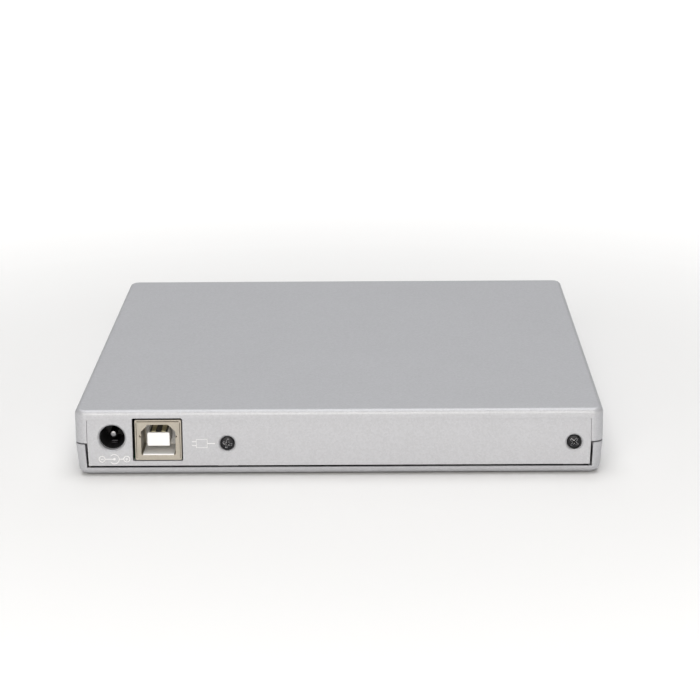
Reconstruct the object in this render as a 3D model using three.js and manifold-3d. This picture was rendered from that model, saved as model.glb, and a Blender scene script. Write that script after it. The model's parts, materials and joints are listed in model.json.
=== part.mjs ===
// External optical drive: a slim disc drive with a sliding tray, in a two-shell case with a USB-B
// bridge behind it. Millimetres, +Z up, origin under the middle of the case where its feet stand.
// +Y is the connector side, -Y the tray side.
//
// The most skilful part is the traverse: a frame turned 45 degrees inside the tray, whose sled runs
// on two shafts from a lead screw, so that the lens crosses the whole radius of the disc.

import * as THREE from "three";
import { mergeVertices } from "three/addons/utils/BufferGeometryUtils.js";
import Module from "manifold-3d";

const wasm = await Module();
wasm.setup();

// ---------------------------------------------------------------- driving dimensions

const DISC_DIAMETER = 120;
const DISC_BORE = 15;
const DISC_THICKNESS = 1.2;
const DISC_MARGIN = 0.5; // from the edge of the disc to the wall of its recess
const RECESS_DEPTH = 1.7;
const RECESS_BREAKOUT = 1; // how far the recess runs out through each side of the tray

const MECHANISM_HEIGHT = 6.8; // free height inside the tray, over its bottom cover
const DECK_THICKNESS = 1;
const SHEET = 0.6; // steel sheet of the chassis
const RIBBON_SPACE = 0.8; // height left for the folded cable under the tray

const CASE_WALL = 2.2;
const CASE_TOP = 1.6;
const CASE_FLOOR = 1.9;
const CORNER_RADIUS = 3;
const TOP_FILLET = 1.3;
const BOTTOM_FILLET = 1.9;
const DRAFT = THREE.MathUtils.degToRad(4.5); // of the lower shell's walls
const PARTING_HEIGHT = 8.5; // of the gap between the shells, over the case's bottom
const PARTING_GAP = 0.4;
const PANEL_RECESS = 0.35; // the connector panel lies this far inside the rear face
const PANEL_DROP = 2.6; // from the case's top to the panel's
const PANEL_LEAN = THREE.MathUtils.degToRad(2.5); // of the panel's ends, under the parting line

const FOOT_RADIUS = 4;
const FOOT_HEIGHT = 0.5; // that shows under the case
const FOOT_RECESS = 0.5;

const USB_WIDTH = 12;
const USB_HEIGHT = 10.75;
const USB_DEPTH = 16;
const USB_SETBACK = 0.25;
const BAY_DEPTH = 17.3; // between the drive and the rear wall

const TRAY_TRAVEL = 118;
const BEZEL_THICKNESS = 2.1;
const BUTTON_WIDTH = 12;
const BUTTON_HEIGHT = 4.6;
const LATCH_SWING = THREE.MathUtils.degToRad(16);

const LENS_INNER = 22; // distance of the lens from the spindle, at the two ends of its travel
const LENS_OUTER = 58;
const SHAFT_RADIUS = 1;
const SHAFT_SPACING = 29;
const TURNTABLE_RADIUS = 14.2;

const SEAT = 0.05; // left between faces that rest on each other
const CLEARANCE = 0.3; // left round anything that moves or is turned

// ---------------------------------------------------------------- heights, from the floor up

const caseBottomZ = FOOT_HEIGHT;
const floorZ = caseBottomZ + CASE_FLOOR;
const boardTopZ = floorZ + 2;
const panZ = floorZ + 0.6;
const panFloorZ = panZ + SHEET;
const coverZ = panFloorZ + RIBBON_SPACE;
const coverTopZ = coverZ + 0.4;
const deckZ = coverTopZ + MECHANISM_HEIGHT;
const recessZ = deckZ + DECK_THICKNESS;
const trayTopZ = recessZ + RECESS_DEPTH;
const lidZ = trayTopZ + 0.8;
const lidTopZ = lidZ + SHEET;
const usbTopZ = boardTopZ + SEAT + USB_HEIGHT;
const ceilingZ = Math.max(lidTopZ + 0.6, usbTopZ + 0.8);
const caseTopZ = ceilingZ + CASE_TOP;
const partingZ = caseBottomZ + PARTING_HEIGHT;
const lowerTopZ = partingZ - PARTING_GAP / 2;
const upperBottomZ = partingZ + PARTING_GAP / 2;
const panelTopZ = caseTopZ - PANEL_DROP;
const panelBottomZ = floorZ + PARTING_GAP;
const railZ = (coverTopZ + deckZ) / 2 + 0.2;
const frameZ = coverTopZ + 0.4;
const frameTopZ = frameZ + 0.8;
const sledZ = frameTopZ + 0.4;
const sledTopZ = deckZ - 0.4;
const shaftZ = frameTopZ + 2;
const screwAxisZ = frameTopZ + 2.4;
const discZ = recessZ + 0.4; // underside of a disc on the turntable
const buttonZ = coverTopZ + 3.2;

// ---------------------------------------------------------------- half widths, from the disc out

const recessRadius = DISC_DIAMETER / 2 + DISC_MARGIN;
const deckHalf = recessRadius - RECESS_BREAKOUT;
const trayHalf = deckHalf - 2; // of the tray's walls, under the deck
const guideX = deckHalf + 0.4;
const panHalf = guideX + 2.6;
const lidHalf = panHalf + SHEET + 0.2;
const cavityHalf = lidHalf + SHEET + 2.1;
const caseHalf = cavityHalf + CASE_WALL;
const frontHalf = cavityHalf - 1; // of the opening that the tray leaves by
const bezelHalf = frontHalf - 0.4;
const panelHalf = cavityHalf - 1;

// ---------------------------------------------------------------- depths, from the front back

const driveDepth = BEZEL_THICKNESS + 0.6 + 2 * recessRadius + 2.9 + SHEET;
const caseDepth = 0.3 + driveDepth + BAY_DEPTH + CASE_WALL;
const rearY = caseDepth / 2;
const frontY = -rearY;
const bezelY = frontY + 0.3;
const trayY = bezelY + BEZEL_THICKNESS;
const discY = trayY + 0.6 + recessRadius;
const trayRearY = discY + recessRadius + 1;
const panFrontY = trayY + 0.3;
const panRearY = trayRearY + 1.9;
const bayY = panRearY + SHEET;
const cavityY = rearY - CASE_WALL;
const panelY = rearY - PANEL_RECESS;
const boardY = bayY + 1.2;
const usbY = panelY - USB_SETBACK;

// ---------------------------------------------------------------- places of the connectors and fasteners

const usbX = 46.65;
const usbZ = boardTopZ + USB_HEIGHT / 2 + SEAT;
const jackX = 58.6;
const jackZ = boardTopZ + 6.1;
const rearScrews = [
  { name: "rear_screw_left", x: 28.8 },
  { name: "rear_screw_right", x: -60.7 },
];
const rearScrewZ = partingZ - 0.15;
const screwHeadRadius = 1.85;
const connectorX = -27; // of the plug between the drive and the bridge board
const ribbonHalf = 11;
const footX = caseHalf - 10.2;
const footY = rearY - 10.5;
const driveScrewX = panHalf - 12.5;
const driveScrewY = { front: discY - 42, rear: discY + 50 };
const buttonX = 42;
const pipeX = 30;
const pinholeX = 24;
// the latch and the ejector keep to the tray's rear corners, outside the disc
const latchPivot = { x: deckHalf - 21.5, y: trayRearY - 15 };
const latchPin = { x: deckHalf - 14.5, y: trayRearY - 6.5 };
const pusherX = -(deckHalf - 11.5);

// The traverse lies in a frame of its own: its x runs out from the spindle along the lens's path.
const traversePlace = new THREE.Matrix4()
  .makeRotationZ(THREE.MathUtils.degToRad(-135))
  .setPosition(0, discY, 0);
const shaftV = SHAFT_SPACING / 2; // across the frame, from the lens's path
const leadScrewV = shaftV + 5;
const frameSide = { low: -shaftV - 5.5, high: leadScrewV + 4.5 };
const dampers = [
  { x: -15, y: -shaftV - 1.5 },
  { x: -13, y: leadScrewV + 0.5 },
  { x: 56.5, y: leadScrewV + 0.8 },
];
const bearingReach = { inner: 12, outer: 2 }; // of the sled's bearings, from the lens

// ---------------------------------------------------------------- solids from three.js geometry

// A closed geometry as a solid, moved by a matrix if one is given.
function solid(geometry, matrix) {
  const bare = geometry.index ? geometry.toNonIndexed() : geometry.clone();
  bare.deleteAttribute("normal");
  bare.deleteAttribute("uv");
  if (matrix) bare.applyMatrix4(matrix);
  const merged = mergeVertices(bare, 1e-4);
  return new wasm.Manifold(
    new wasm.Mesh({
      numProp: 3,
      vertProperties: merged.attributes.position.array,
      triVerts: new Uint32Array(merged.index.array),
    }),
  );
}

const join = (first, ...others) => others.reduce((whole, piece) => whole.add(piece), first);
const cut = (first, ...others) => others.reduce((whole, piece) => whole.subtract(piece), first);

// A box between two corners along each axis.
function box([x0, x1], [y0, y1], [z0, z1], matrix) {
  const geometry = new THREE.BoxGeometry(x1 - x0, y1 - y0, z1 - z0);
  geometry.translate((x0 + x1) / 2, (y0 + y1) / 2, (z0 + z1) / 2);
  return solid(geometry, matrix);
}

const around = (middle, half) => [middle - half, middle + half];

function polygon(points) {
  return new THREE.Shape(points.map(([x, y]) => new THREE.Vector2(x, y)));
}

function rounded([x0, x1], [y0, y1], radius) {
  const shape = new THREE.Shape();
  shape.absarc(x1 - radius, y1 - radius, radius, 0, Math.PI / 2);
  shape.absarc(x0 + radius, y1 - radius, radius, Math.PI / 2, Math.PI);
  shape.absarc(x0 + radius, y0 + radius, radius, Math.PI, 1.5 * Math.PI);
  shape.absarc(x1 - radius, y0 + radius, radius, 1.5 * Math.PI, 2 * Math.PI);
  return shape;
}

// A shape in the XY plane, from one height to another, with an optional bevel inside both ends.
function prism(shape, [z0, z1], { matrix, bevel = 0, arcs = 2 } = {}) {
  const geometry = new THREE.ExtrudeGeometry(shape, {
    depth: z1 - z0 - 2 * bevel,
    curveSegments: arcs,
    bevelEnabled: bevel > 0,
    bevelThickness: bevel,
    bevelSize: bevel,
    bevelOffset: -bevel,
    bevelSegments: 2,
  });
  geometry.translate(0, 0, z0 + bevel);
  return solid(geometry, matrix);
}

// The same with the shape drawn in the XZ plane and run along Y, or drawn in YZ and run along X.
const alongY = new THREE.Matrix4().makeBasis(
  new THREE.Vector3(1, 0, 0),
  new THREE.Vector3(0, 0, 1),
  new THREE.Vector3(0, -1, 0),
);
const alongX = new THREE.Matrix4().makeBasis(
  new THREE.Vector3(0, 1, 0),
  new THREE.Vector3(0, 0, 1),
  new THREE.Vector3(1, 0, 0),
);
const prismY = (shape, [y0, y1], options) =>
  prism(shape, [-y1, -y0], { ...options, matrix: alongY });
const prismX = (shape, range, options) => prism(shape, range, { ...options, matrix: alongX });

function cylinderZ(radius, x, y, [z0, z1], { sides = 24, matrix } = {}) {
  const geometry = new THREE.CylinderGeometry(radius, radius, z1 - z0, sides);
  geometry.rotateX(Math.PI / 2).translate(x, y, (z0 + z1) / 2);
  return solid(geometry, matrix);
}

function coneY([radius0, radius1], x, z, [y0, y1], sides = 24) {
  const geometry = new THREE.CylinderGeometry(radius1, radius0, y1 - y0, sides);
  return solid(geometry.translate(x, (y0 + y1) / 2, z));
}

const cylinderY = (radius, x, z, range, sides) => coneY([radius, radius], x, z, range, sides);

function cylinderX(radius, y, z, [x0, x1], sides = 20) {
  const geometry = new THREE.CylinderGeometry(radius, radius, x1 - x0, sides);
  return solid(geometry.rotateZ(-Math.PI / 2).translate((x0 + x1) / 2, y, z));
}

// A profile of [radius, height] turned about Z.
function turned(profile, sides = 20) {
  const points = profile.map(([radius, height]) => new THREE.Vector2(radius, height));
  return solid(new THREE.LatheGeometry(points, sides).rotateX(Math.PI / 2));
}

// A solid through outlines of the same number of points, each at its own height.
function loft(sections) {
  const outlines = sections.map(({ shape }) => shape.extractPoints(3).shape);
  const count = outlines[0].length - 1; // an outline ends where it begins
  const point = (row, i) => {
    const { x, y } = outlines[row][i % count];
    return [x, y, sections[row].z];
  };
  const last = sections.length - 1;
  const corners = [];
  for (let i = 0; i < count; i++) {
    for (let row = 0; row < last; row++) {
      const [a, b] = [point(row, i), point(row, i + 1)];
      const [c, d] = [point(row + 1, i + 1), point(row + 1, i)];
      corners.push(a, b, c, a, c, d);
    }
    corners.push([0, 0, sections[0].z], point(0, i + 1), point(0, i));
    corners.push([0, 0, sections[last].z], point(last, i), point(last, i + 1));
  }
  const geometry = new THREE.BufferGeometry();
  geometry.setAttribute("position", new THREE.Float32BufferAttribute(corners.flat(), 3));
  return solid(geometry);
}

// ---------------------------------------------------------------- materials and nodes

const metal = (color, roughness) =>
  new THREE.MeshStandardMaterial({ color, roughness, metalness: 1 });
const plastic = (color, roughness) =>
  new THREE.MeshStandardMaterial({ color, roughness, metalness: 0 });

const silverPaint = new THREE.MeshStandardMaterial({
  color: "#b6b6ba",
  roughness: 0.38,
  metalness: 0.6,
});
const steel = metal("#a9abae", 0.35);
const nickel = metal("#cfc8b8", 0.3);
const gold = metal("#b9a878", 0.3);
const copper = metal("#b06a3c", 0.4);
const blackScrew = metal("#1a1a1c", 0.35);
const blackPlastic = plastic("#17181a", 0.5);
const greyPlastic = plastic("#3a3c40", 0.5);
const whitePlastic = plastic("#e8e6df", 0.45);
const rubber = plastic("#222224", 0.85);
const boardGreen = plastic("#1f5a3c", 0.5);
const ribbonFilm = plastic("#c9a86a", 0.4);
const clearPlastic = plastic("#dfe9ee", 0.1);
const lensGlass = plastic("#7a86c8", 0.05);

const optical = new THREE.Group();

// Adds a solid to a group as a named mesh and returns the mesh, so that its place can be set.
function node(name, piece, material, parent = optical) {
  const { vertProperties, triVerts } = piece.getMesh();
  const geometry = new THREE.BufferGeometry();
  geometry.setAttribute("position", new THREE.BufferAttribute(vertProperties, 3));
  geometry.setIndex(new THREE.BufferAttribute(triVerts, 1));
  geometry.computeVertexNormals();
  const mesh = new THREE.Mesh(geometry, material);
  mesh.name = name;
  parent.add(mesh);
  return mesh;
}

// ---------------------------------------------------------------- the case

const caseOutline = (inset) =>
  rounded(
    around(0, caseHalf - inset),
    around(0, rearY - inset),
    Math.max(CORNER_RADIUS - inset, 0.3),
  );

function topCover() {
  const steps = 5;
  const sections = [{ z: upperBottomZ, shape: caseOutline(0) }];
  for (let i = 0; i <= steps; i++) {
    const angle = (i / steps) * (Math.PI / 2);
    sections.push({
      z: caseTopZ - TOP_FILLET * (1 - Math.sin(angle)),
      shape: caseOutline(TOP_FILLET * (1 - Math.cos(angle))),
    });
  }
  const hollow = prism(rounded(around(0, cavityHalf), around(0, cavityY), 1), [0, ceilingZ]);
  const front = box(around(0, frontHalf), [frontY - 1, -cavityY + 1], [0, ceilingZ - 0.1]);
  const back = box(
    around(0, panelHalf + SEAT),
    [cavityY - 1, rearY + 1],
    [0, panelTopZ + SEAT],
  );
  const ribs = [-1, 1].map((side) =>
    box(around(side * 40, 0.6), around(discY, 45), [lidTopZ + SEAT, ceilingZ + 0.1]),
  );
  const shell = join(cut(loft(sections), hollow, front, back), ...ribs, ...snapTabs());
  return cut(shell, usbOpening());
}

// The connector panel fills the back of both shells, and two screws hold it.
function rearPanel() {
  const lean = (partingZ - panelBottomZ) * Math.tan(PANEL_LEAN);
  const plate = prismY(
    polygon([
      [-panelHalf, panelTopZ],
      [-panelHalf, partingZ],
      [-panelHalf + lean, panelBottomZ],
      [panelHalf - lean, panelBottomZ],
      [panelHalf, partingZ],
      [panelHalf, panelTopZ],
    ]),
    [cavityY, panelY],
  );
  return cut(plate, usbOpening(), jackOpening(), ...rearScrews.map(rearScrewHole));
}

// Four tabs that hang from the ceiling and catch under the lower shell's lip.
function snapTabs() {
  const inner = lidHalf + SHEET + CLEARANCE;
  const tabs = [];
  for (const side of [-1, 1]) {
    for (const y of [-30, 30]) {
      const outline = polygon([
        [side * inner, ceilingZ + 0.1],
        [side * inner, partingZ - 2.2],
        [side * (inner + 1.4), partingZ - 1.8],
        [side * (inner + 1.4), partingZ - 1.2],
        [side * (inner + 0.8), partingZ - 1.2],
        [side * (inner + 0.8), ceilingZ + 0.1],
      ]);
      tabs.push(prismY(outline, around(y, 4)));
    }
  }
  return tabs;
}

const usbOpening = () =>
  prismY(
    rounded(
      [usbX - USB_WIDTH / 2 - 0.35, usbX + USB_WIDTH / 2 + 0.5],
      [usbZ - USB_HEIGHT / 2 - 0.22, usbZ + USB_HEIGHT / 2 + 0.45],
      0.5,
    ),
    [cavityY - 1, rearY + 1],
  );

const jackOpening = () =>
  join(
    cylinderY(3.3, jackX, jackZ, [cavityY - 1, rearY + 1], 32),
    coneY([3.3, 3.75], jackX, jackZ, [panelY - 0.4, panelY + 0.05], 32),
  );

const rearScrewHole = ({ x }) =>
  join(
    cylinderY(screwHeadRadius + 0.15, x, rearScrewZ, [panelY - 1, rearY + 1], 28),
    cylinderY(1.3, x, rearScrewZ, [cavityY - 1, rearY], 16),
  );

function bottomCover() {
  const steps = 4;
  const inset = (z) => (lowerTopZ - z) * Math.tan(DRAFT);
  const sections = [];
  for (let i = 0; i <= steps; i++) {
    const angle = (i / steps) * (Math.PI / 2);
    const z = caseBottomZ + BOTTOM_FILLET * (1 - Math.cos(angle));
    sections.push({ z, shape: caseOutline(inset(z) + BOTTOM_FILLET * (1 - Math.sin(angle))) });
  }
  sections.push({ z: lowerTopZ, shape: caseOutline(0) });

  const hollow = prism(rounded(around(0, cavityHalf), around(0, cavityY), 1), [floorZ, caseTopZ]);
  const front = box(around(0, frontHalf), [frontY - 1, -cavityY + 1], [floorZ, caseTopZ]);
  const lean = (lowerTopZ - floorZ) * Math.tan(PANEL_LEAN);
  const open = panelHalf + PARTING_GAP;
  const rear = prismY(
    polygon([
      [-open + lean, floorZ],
      [open - lean, floorZ],
      [open, lowerTopZ],
      [open, caseTopZ],
      [-open, caseTopZ],
      [-open, lowerTopZ],
    ]),
    [cavityY - 1, rearY + 1],
  );
  const shell = cut(loft(sections), hollow, front, rear);
  return cut(
    join(shell, ...lips(), ...floorPads(), ...rearScrews.map(screwPost)),
    ...footPlaces.map(({ x, y }) =>
      cylinderZ(FOOT_RADIUS + 0.15, x, y, [0, caseBottomZ + FOOT_RECESS]),
    ),
    ...driveScrews.map(driveScrewHole),
  );
}

// A lip on each side stands inside the upper shell and closes the gap between the shells.
function lips() {
  return [-1, 1].map((side) =>
    prismY(
      polygon([
        [side * (cavityHalf + 0.3), partingZ - 1],
        [side * (cavityHalf - 0.8), partingZ - 1],
        [side * (cavityHalf - 0.8), partingZ + 1.2],
        [side * (cavityHalf - 0.1), partingZ + 1.2],
        [side * (cavityHalf - 0.1), lowerTopZ - 0.2],
        [side * (cavityHalf + 0.3), lowerTopZ - 0.2],
      ]),
      around(0, cavityY - 5),
    ),
  );
}

// Pads under the drive's screws and under the bridge board.
function floorPads() {
  const height = [floorZ - 0.2, panZ - SEAT];
  const boardMiddle = (boardY + cavityY) / 2;
  return [
    ...driveScrews.map(({ x, y }) => cylinderZ(3.4, x, y, height)),
    ...[-45, -8, 36].map((x) => cylinderZ(2.5, x, boardMiddle, height)),
  ];
}

const screwPost = ({ x }) =>
  cut(
    box(around(x, 2.6), [cavityY - 4.8, cavityY - 0.15], [floorZ - 0.2, rearScrewZ + 2.6]),
    cylinderY(1.25, x, rearScrewZ, [cavityY - 6, cavityY + 1], 16),
  );

const driveScrewHole = ({ x, y }) =>
  join(
    cylinderZ(2.4, x, y, [0, caseBottomZ + 0.85]),
    cylinderZ(1.3, x, y, [0, panFloorZ], { sides: 16 }),
  );

const footPlaces = [
  { name: "foot_front_left", x: footX, y: -footY },
  { name: "foot_front_right", x: -footX, y: -footY },
  { name: "foot_rear_left", x: footX, y: footY },
  { name: "foot_rear_right", x: -footX, y: footY },
];

const driveScrews = [
  { name: "drive_screw_front_left", x: driveScrewX, y: driveScrewY.front },
  { name: "drive_screw_front_right", x: -driveScrewX, y: driveScrewY.front },
  { name: "drive_screw_rear_left", x: driveScrewX, y: driveScrewY.rear },
  { name: "drive_screw_rear_right", x: -driveScrewX, y: driveScrewY.rear },
];

function foot() {
  const height = caseBottomZ + FOOT_RECESS - SEAT;
  return turned([
    [0, 0],
    [FOOT_RADIUS - 0.4, 0],
    [FOOT_RADIUS, 0.4],
    [FOOT_RADIUS, height],
    [0, height],
  ]);
}

// A screw with a cross recess. Its head's underside is at height 0 and its head points up.
function crossScrew(headRadius, headHeight, shankRadius, shankLength) {
  const body = turned(
    [
      [0, -shankLength],
      [shankRadius - 0.3, -shankLength],
      [shankRadius, 0.4 - shankLength],
      [shankRadius, 0],
      [headRadius, 0],
      [headRadius, headHeight * 0.45],
      [headRadius * 0.86, headHeight * 0.82],
      [headRadius * 0.6, headHeight],
      [0, headHeight],
    ],
    16,
  );
  const arm = headRadius * 0.58;
  const depth = [headHeight * 0.3, headHeight + 1];
  return cut(
    body,
    box(around(0, arm), around(0, 0.3), depth),
    box(around(0, 0.3), around(0, arm), depth),
  );
}

function addCase() {
  node("top_cover", topCover(), silverPaint);
  node("rear_panel", rearPanel(), silverPaint);
  node("bottom_cover", bottomCover(), silverPaint);
  for (const { name, x, y } of footPlaces) {
    node(name, foot(), rubber).position.set(x, y, 0);
  }
  for (const { name, x } of rearScrews) {
    const screw = node(name, crossScrew(screwHeadRadius, 0.9, 1, 5.4), blackScrew);
    screw.position.set(x, panelY - 1 + SEAT, rearScrewZ);
    screw.rotation.x = -Math.PI / 2;
  }
  const headZ = caseBottomZ + 0.85 - SEAT;
  for (const { name, x, y } of driveScrews) {
    const screw = node(name, crossScrew(2.2, 0.7, 1, panFloorZ + 0.3 - headZ), blackScrew);
    screw.position.set(x, y, headZ);
    screw.rotation.x = Math.PI;
  }
}

// ---------------------------------------------------------------- the bridge behind the drive

function bridgeBoard() {
  const plate = box(around(0.5, panHalf), [boardY, cavityY - CLEARANCE], [panZ, boardTopZ]);
  const notches = rearScrews.map(({ x }) =>
    box(around(x, 3), [cavityY - 5.2, cavityY], [panZ - 1, boardTopZ + 1]),
  );
  return cut(plate, ...notches);
}

// The plug's opening, with its two cut corners at the top, drawn in XZ about the socket's middle.
function usbMouth(grow) {
  const half = 4.5 + grow;
  const [bottom, top] = [-4.1 - grow, 4.1 + grow];
  const corner = 1.9;
  return polygon([
    [usbX - half, usbZ + bottom],
    [usbX + half, usbZ + bottom],
    [usbX + half, usbZ + top - corner],
    [usbX + half - corner, usbZ + top],
    [usbX - half + corner, usbZ + top],
    [usbX - half, usbZ + top - corner],
  ]);
}

const usbTongue = { half: 2.85, z: [usbZ - 1.75, usbZ + 1.75] };

function usbShell() {
  const back = usbY - USB_DEPTH;
  const outer = prismY(
    rounded(around(usbX, USB_WIDTH / 2), around(usbZ, USB_HEIGHT / 2), 0.35),
    [back, usbY],
  );
  const inner = box(
    around(usbX, USB_WIDTH / 2 - 0.5),
    [back - 1, usbY - 0.6],
    around(usbZ, USB_HEIGHT / 2 - 0.5),
  );
  const mouth = prismY(usbMouth(0), [back, usbY + 1]);
  const notches = box(around(usbX, 4.9), [usbY - 1.5, usbY + 1], around(usbZ - 0.4, 1.1));
  return cut(outer, inner, mouth, notches);
}

function usbInsulator() {
  const back = usbY - USB_DEPTH + 0.3;
  const body = box(
    around(usbX, USB_WIDTH / 2 - 0.7),
    [back, usbY - 0.8],
    around(usbZ, USB_HEIGHT / 2 - 0.7),
  );
  const hollow = prismY(usbMouth(0.1), [back + 3, usbY]);
  const tongue = box(around(usbX, usbTongue.half), [back + 2, usbY - 1.4], usbTongue.z);
  return join(cut(body, hollow), tongue);
}

// Four strips, two over the tongue and two under it.
function addUsbContacts() {
  const strip = box(around(0, 0.55), [usbY - 12, usbY - 2], around(0, 0.1));
  for (const [level, z] of [
    ["upper", usbTongue.z[1] + 0.15],
    ["lower", usbTongue.z[0] - 0.15],
  ]) {
    for (const [hand, x] of [
      ["left", usbX + 1.25],
      ["right", usbX - 1.25],
    ]) {
      node(`usb_contact_${level}_${hand}`, strip, gold).position.set(x, 0, z);
    }
  }
}

const jackFrontY = cavityY - SEAT;
const jackBack = jackFrontY - 14;

function jackBody() {
  const block = box(around(jackX, 4.5), [jackBack, jackFrontY], [boardTopZ + SEAT, jackZ + 4.5]);
  const bore = cylinderY(3.1, jackX, jackZ, [jackBack + 3, jackFrontY + 1], 28);
  return cut(block, bore);
}

const jackPin = () =>
  join(
    cylinderY(1, jackX, jackZ, [jackBack + 3 + SEAT, jackFrontY - 2.2], 20),
    coneY([1, 0.6], jackX, jackZ, [jackFrontY - 2.2, jackFrontY - 1.6], 20),
  );

// A leaf under the pin that presses on the plug's sleeve.
const jackSpring = () =>
  prismX(
    polygon([
      [jackBack + 3.2, jackZ - 2.75],
      [jackFrontY - 3, jackZ - 2.75],
      [jackFrontY - 3, jackZ - 2.5],
      [jackFrontY - 6, jackZ - 2.1],
      [jackBack + 3.2, jackZ - 2.45],
    ]),
    around(jackX, 0.8),
  );

const connectorY = bayY + 3; // where the drive's plug meets the bridge's socket
const connectorZ = [boardTopZ + 0.1, boardTopZ + 4.6];

function driveConnector() {
  const body = box(around(connectorX, 13), [trayRearY + 0.4, connectorY], connectorZ);
  const blade = box(
    around(connectorX, 11),
    [connectorY - 1, connectorY + 4.5],
    around(boardTopZ + 2.3, 0.5),
  );
  return join(body, blade);
}

function bridgeSocket() {
  const height = [boardTopZ + SEAT, boardTopZ + 5.2];
  const body = box(around(connectorX, 14), [connectorY + 0.2, connectorY + 7], height);
  const slot = box(
    around(connectorX, 11 + CLEARANCE),
    [connectorY, connectorY + 5],
    around(boardTopZ + 2.3, 0.5 + CLEARANCE),
  );
  return cut(body, slot);
}

function addBridge() {
  node("bridge_board", bridgeBoard(), boardGreen);
  node("usb_shell", usbShell(), nickel);
  node("usb_insulator", usbInsulator(), whitePlastic);
  addUsbContacts();
  node("dc_jack_body", jackBody(), blackPlastic);
  node("dc_pin", jackPin(), nickel);
  node("dc_spring", jackSpring(), nickel);
  node("bridge_socket", bridgeSocket(), blackPlastic);
}

// ---------------------------------------------------------------- the drive's chassis

function chassisPan() {
  const wallTopZ = lidZ - 0.2;
  const outer = box(around(0, panHalf + SHEET), [panFrontY, bayY], [panZ, wallTopZ]);
  const inner = box(around(0, panHalf), [panFrontY - 1, panRearY], [panFloorZ, wallTopZ + 1]);
  const window = box(
    around(connectorX, 13 + CLEARANCE),
    [panRearY - 1, bayY + 1],
    [connectorZ[0] - CLEARANCE, connectorZ[1] + CLEARANCE],
  );
  const holes = driveScrews.map(({ x, y }) =>
    cylinderZ(1.3, x, y, [panZ - 1, panFloorZ + 1], { sides: 16 }),
  );
  const pin = cylinderZ(1.2, latchPin.x, latchPin.y, [panZ, coverTopZ + 3.2]);
  return join(cut(outer, inner, window, ...holes), pin);
}

function chassisLid() {
  const skirtZ = panZ + 5;
  const outer = box(around(0, lidHalf + SHEET), [panFrontY, bayY + 0.8], [skirtZ, lidTopZ]);
  const inner = box(around(0, lidHalf), [panFrontY - 1, bayY + 0.2], [skirtZ - 1, lidZ]);
  const window = box(
    around(connectorX, 13 + CLEARANCE),
    [bayY, bayY + 1],
    [skirtZ - 1, connectorZ[1] + CLEARANCE],
  );
  return cut(outer, inner, window);
}

// A channel along Y, open towards the middle, on one side of the drive.
function channel(side, { web, lip, thickness, flange, half }, range) {
  const x = (value) => side * value;
  return prismY(
    polygon([
      [x(lip), railZ - half],
      [x(web), railZ - half],
      [x(web), railZ + half],
      [x(lip), railZ + half],
      [x(lip), railZ + half - flange],
      [x(web - thickness), railZ + half - flange],
      [x(web - thickness), railZ - half + flange],
      [x(lip), railZ - half + flange],
    ]),
    range,
  );
}

const guideSection = {
  web: panHalf - SEAT,
  lip: guideX,
  thickness: 0.95,
  flange: 0.9,
  half: 2.8,
};
const railSection = {
  web: panHalf - 1.2,
  lip: guideX - 1.3,
  thickness: 0.5,
  flange: 0.5,
  half: 1.6,
};
const guideRange = [panFrontY + 2.8, trayRearY - 1.5];
const railRange = [panFrontY + 4.8, trayRearY - 7.5];
const tongueRange = [panFrontY + 0.8, trayRearY - 5.5]; // of the tray's own ribs

// The ribbon lies folded under the tray: from the connector forward, round, and back to the board.
const ribbonFoldY = (panRearY + trayRearY - TRAY_TRAVEL) / 2 - 7;

function flexCable() {
  const film = 0.14;
  const [low, high] = [panFloorZ + 0.12, panFloorZ + RIBBON_SPACE - 0.28];
  const rear = trayRearY + 0.6;
  const boardEnd = trayRearY - 6.5;
  const folded = polygon([
    [ribbonFoldY, low],
    [rear, low],
    [rear, connectorZ[0] - SEAT],
    [rear - film, connectorZ[0] - SEAT],
    [rear - film, low + film],
    [ribbonFoldY + film, low + film],
    [ribbonFoldY + film, high],
    [boardEnd, high],
    [boardEnd, frameZ + 0.1],
    [boardEnd - film, frameZ + 0.1],
    [boardEnd - film, high + film],
    [ribbonFoldY, high + film],
  ]);
  return prismX(folded, around(connectorX, ribbonHalf));
}

function addChassis() {
  node("chassis_pan", chassisPan(), steel);
  node("chassis_lid", chassisLid(), steel);
  for (const [hand, side] of [
    ["left", 1],
    ["right", -1],
  ]) {
    node(`guide_${hand}`, channel(side, guideSection, guideRange), blackPlastic);
    node(`rail_${hand}`, channel(side, railSection, railRange), steel);
  }
  node("drive_connector", driveConnector(), blackPlastic);
  node("flex_cable", flexCable(), ribbonFilm);
}

// ---------------------------------------------------------------- the tray

const slotHalf = 5.6; // of the slot that the lens looks through

// The tray's frame. The thin plate that a disc lies over is trayDeck, so that the recess stays
// open above it.
function tray() {
  const rim = prism(
    rounded(around(0, deckHalf), [trayY + SEAT, trayRearY], 1.2),
    [deckZ, trayTopZ],
  );
  const well = cylinderZ(recessRadius, 0, discY, [deckZ - SEAT, trayTopZ + 1], { sides: 72 });
  const outer = box(
    around(0, trayHalf),
    [trayY + SEAT, trayRearY],
    [coverTopZ + SEAT, deckZ + 0.2],
  );
  const inner = box(
    around(0, trayHalf - 1.2),
    [trayY + 1.25, trayRearY - 1.2],
    [coverTopZ - 1, deckZ],
  );
  const tongues = [-1, 1].map((side) =>
    box(around(side * (trayHalf + 1.4), 1.6), tongueRange, around(railZ, 0.8)),
  );
  const pins = dampers.filter((place) => !underDeck(place)).map(damperPin);
  const body = join(rim, cut(outer, inner), ...tongues, ...pins, ...frameBosses());
  return cut(body, well, ...trayOpenings());
}

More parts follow.
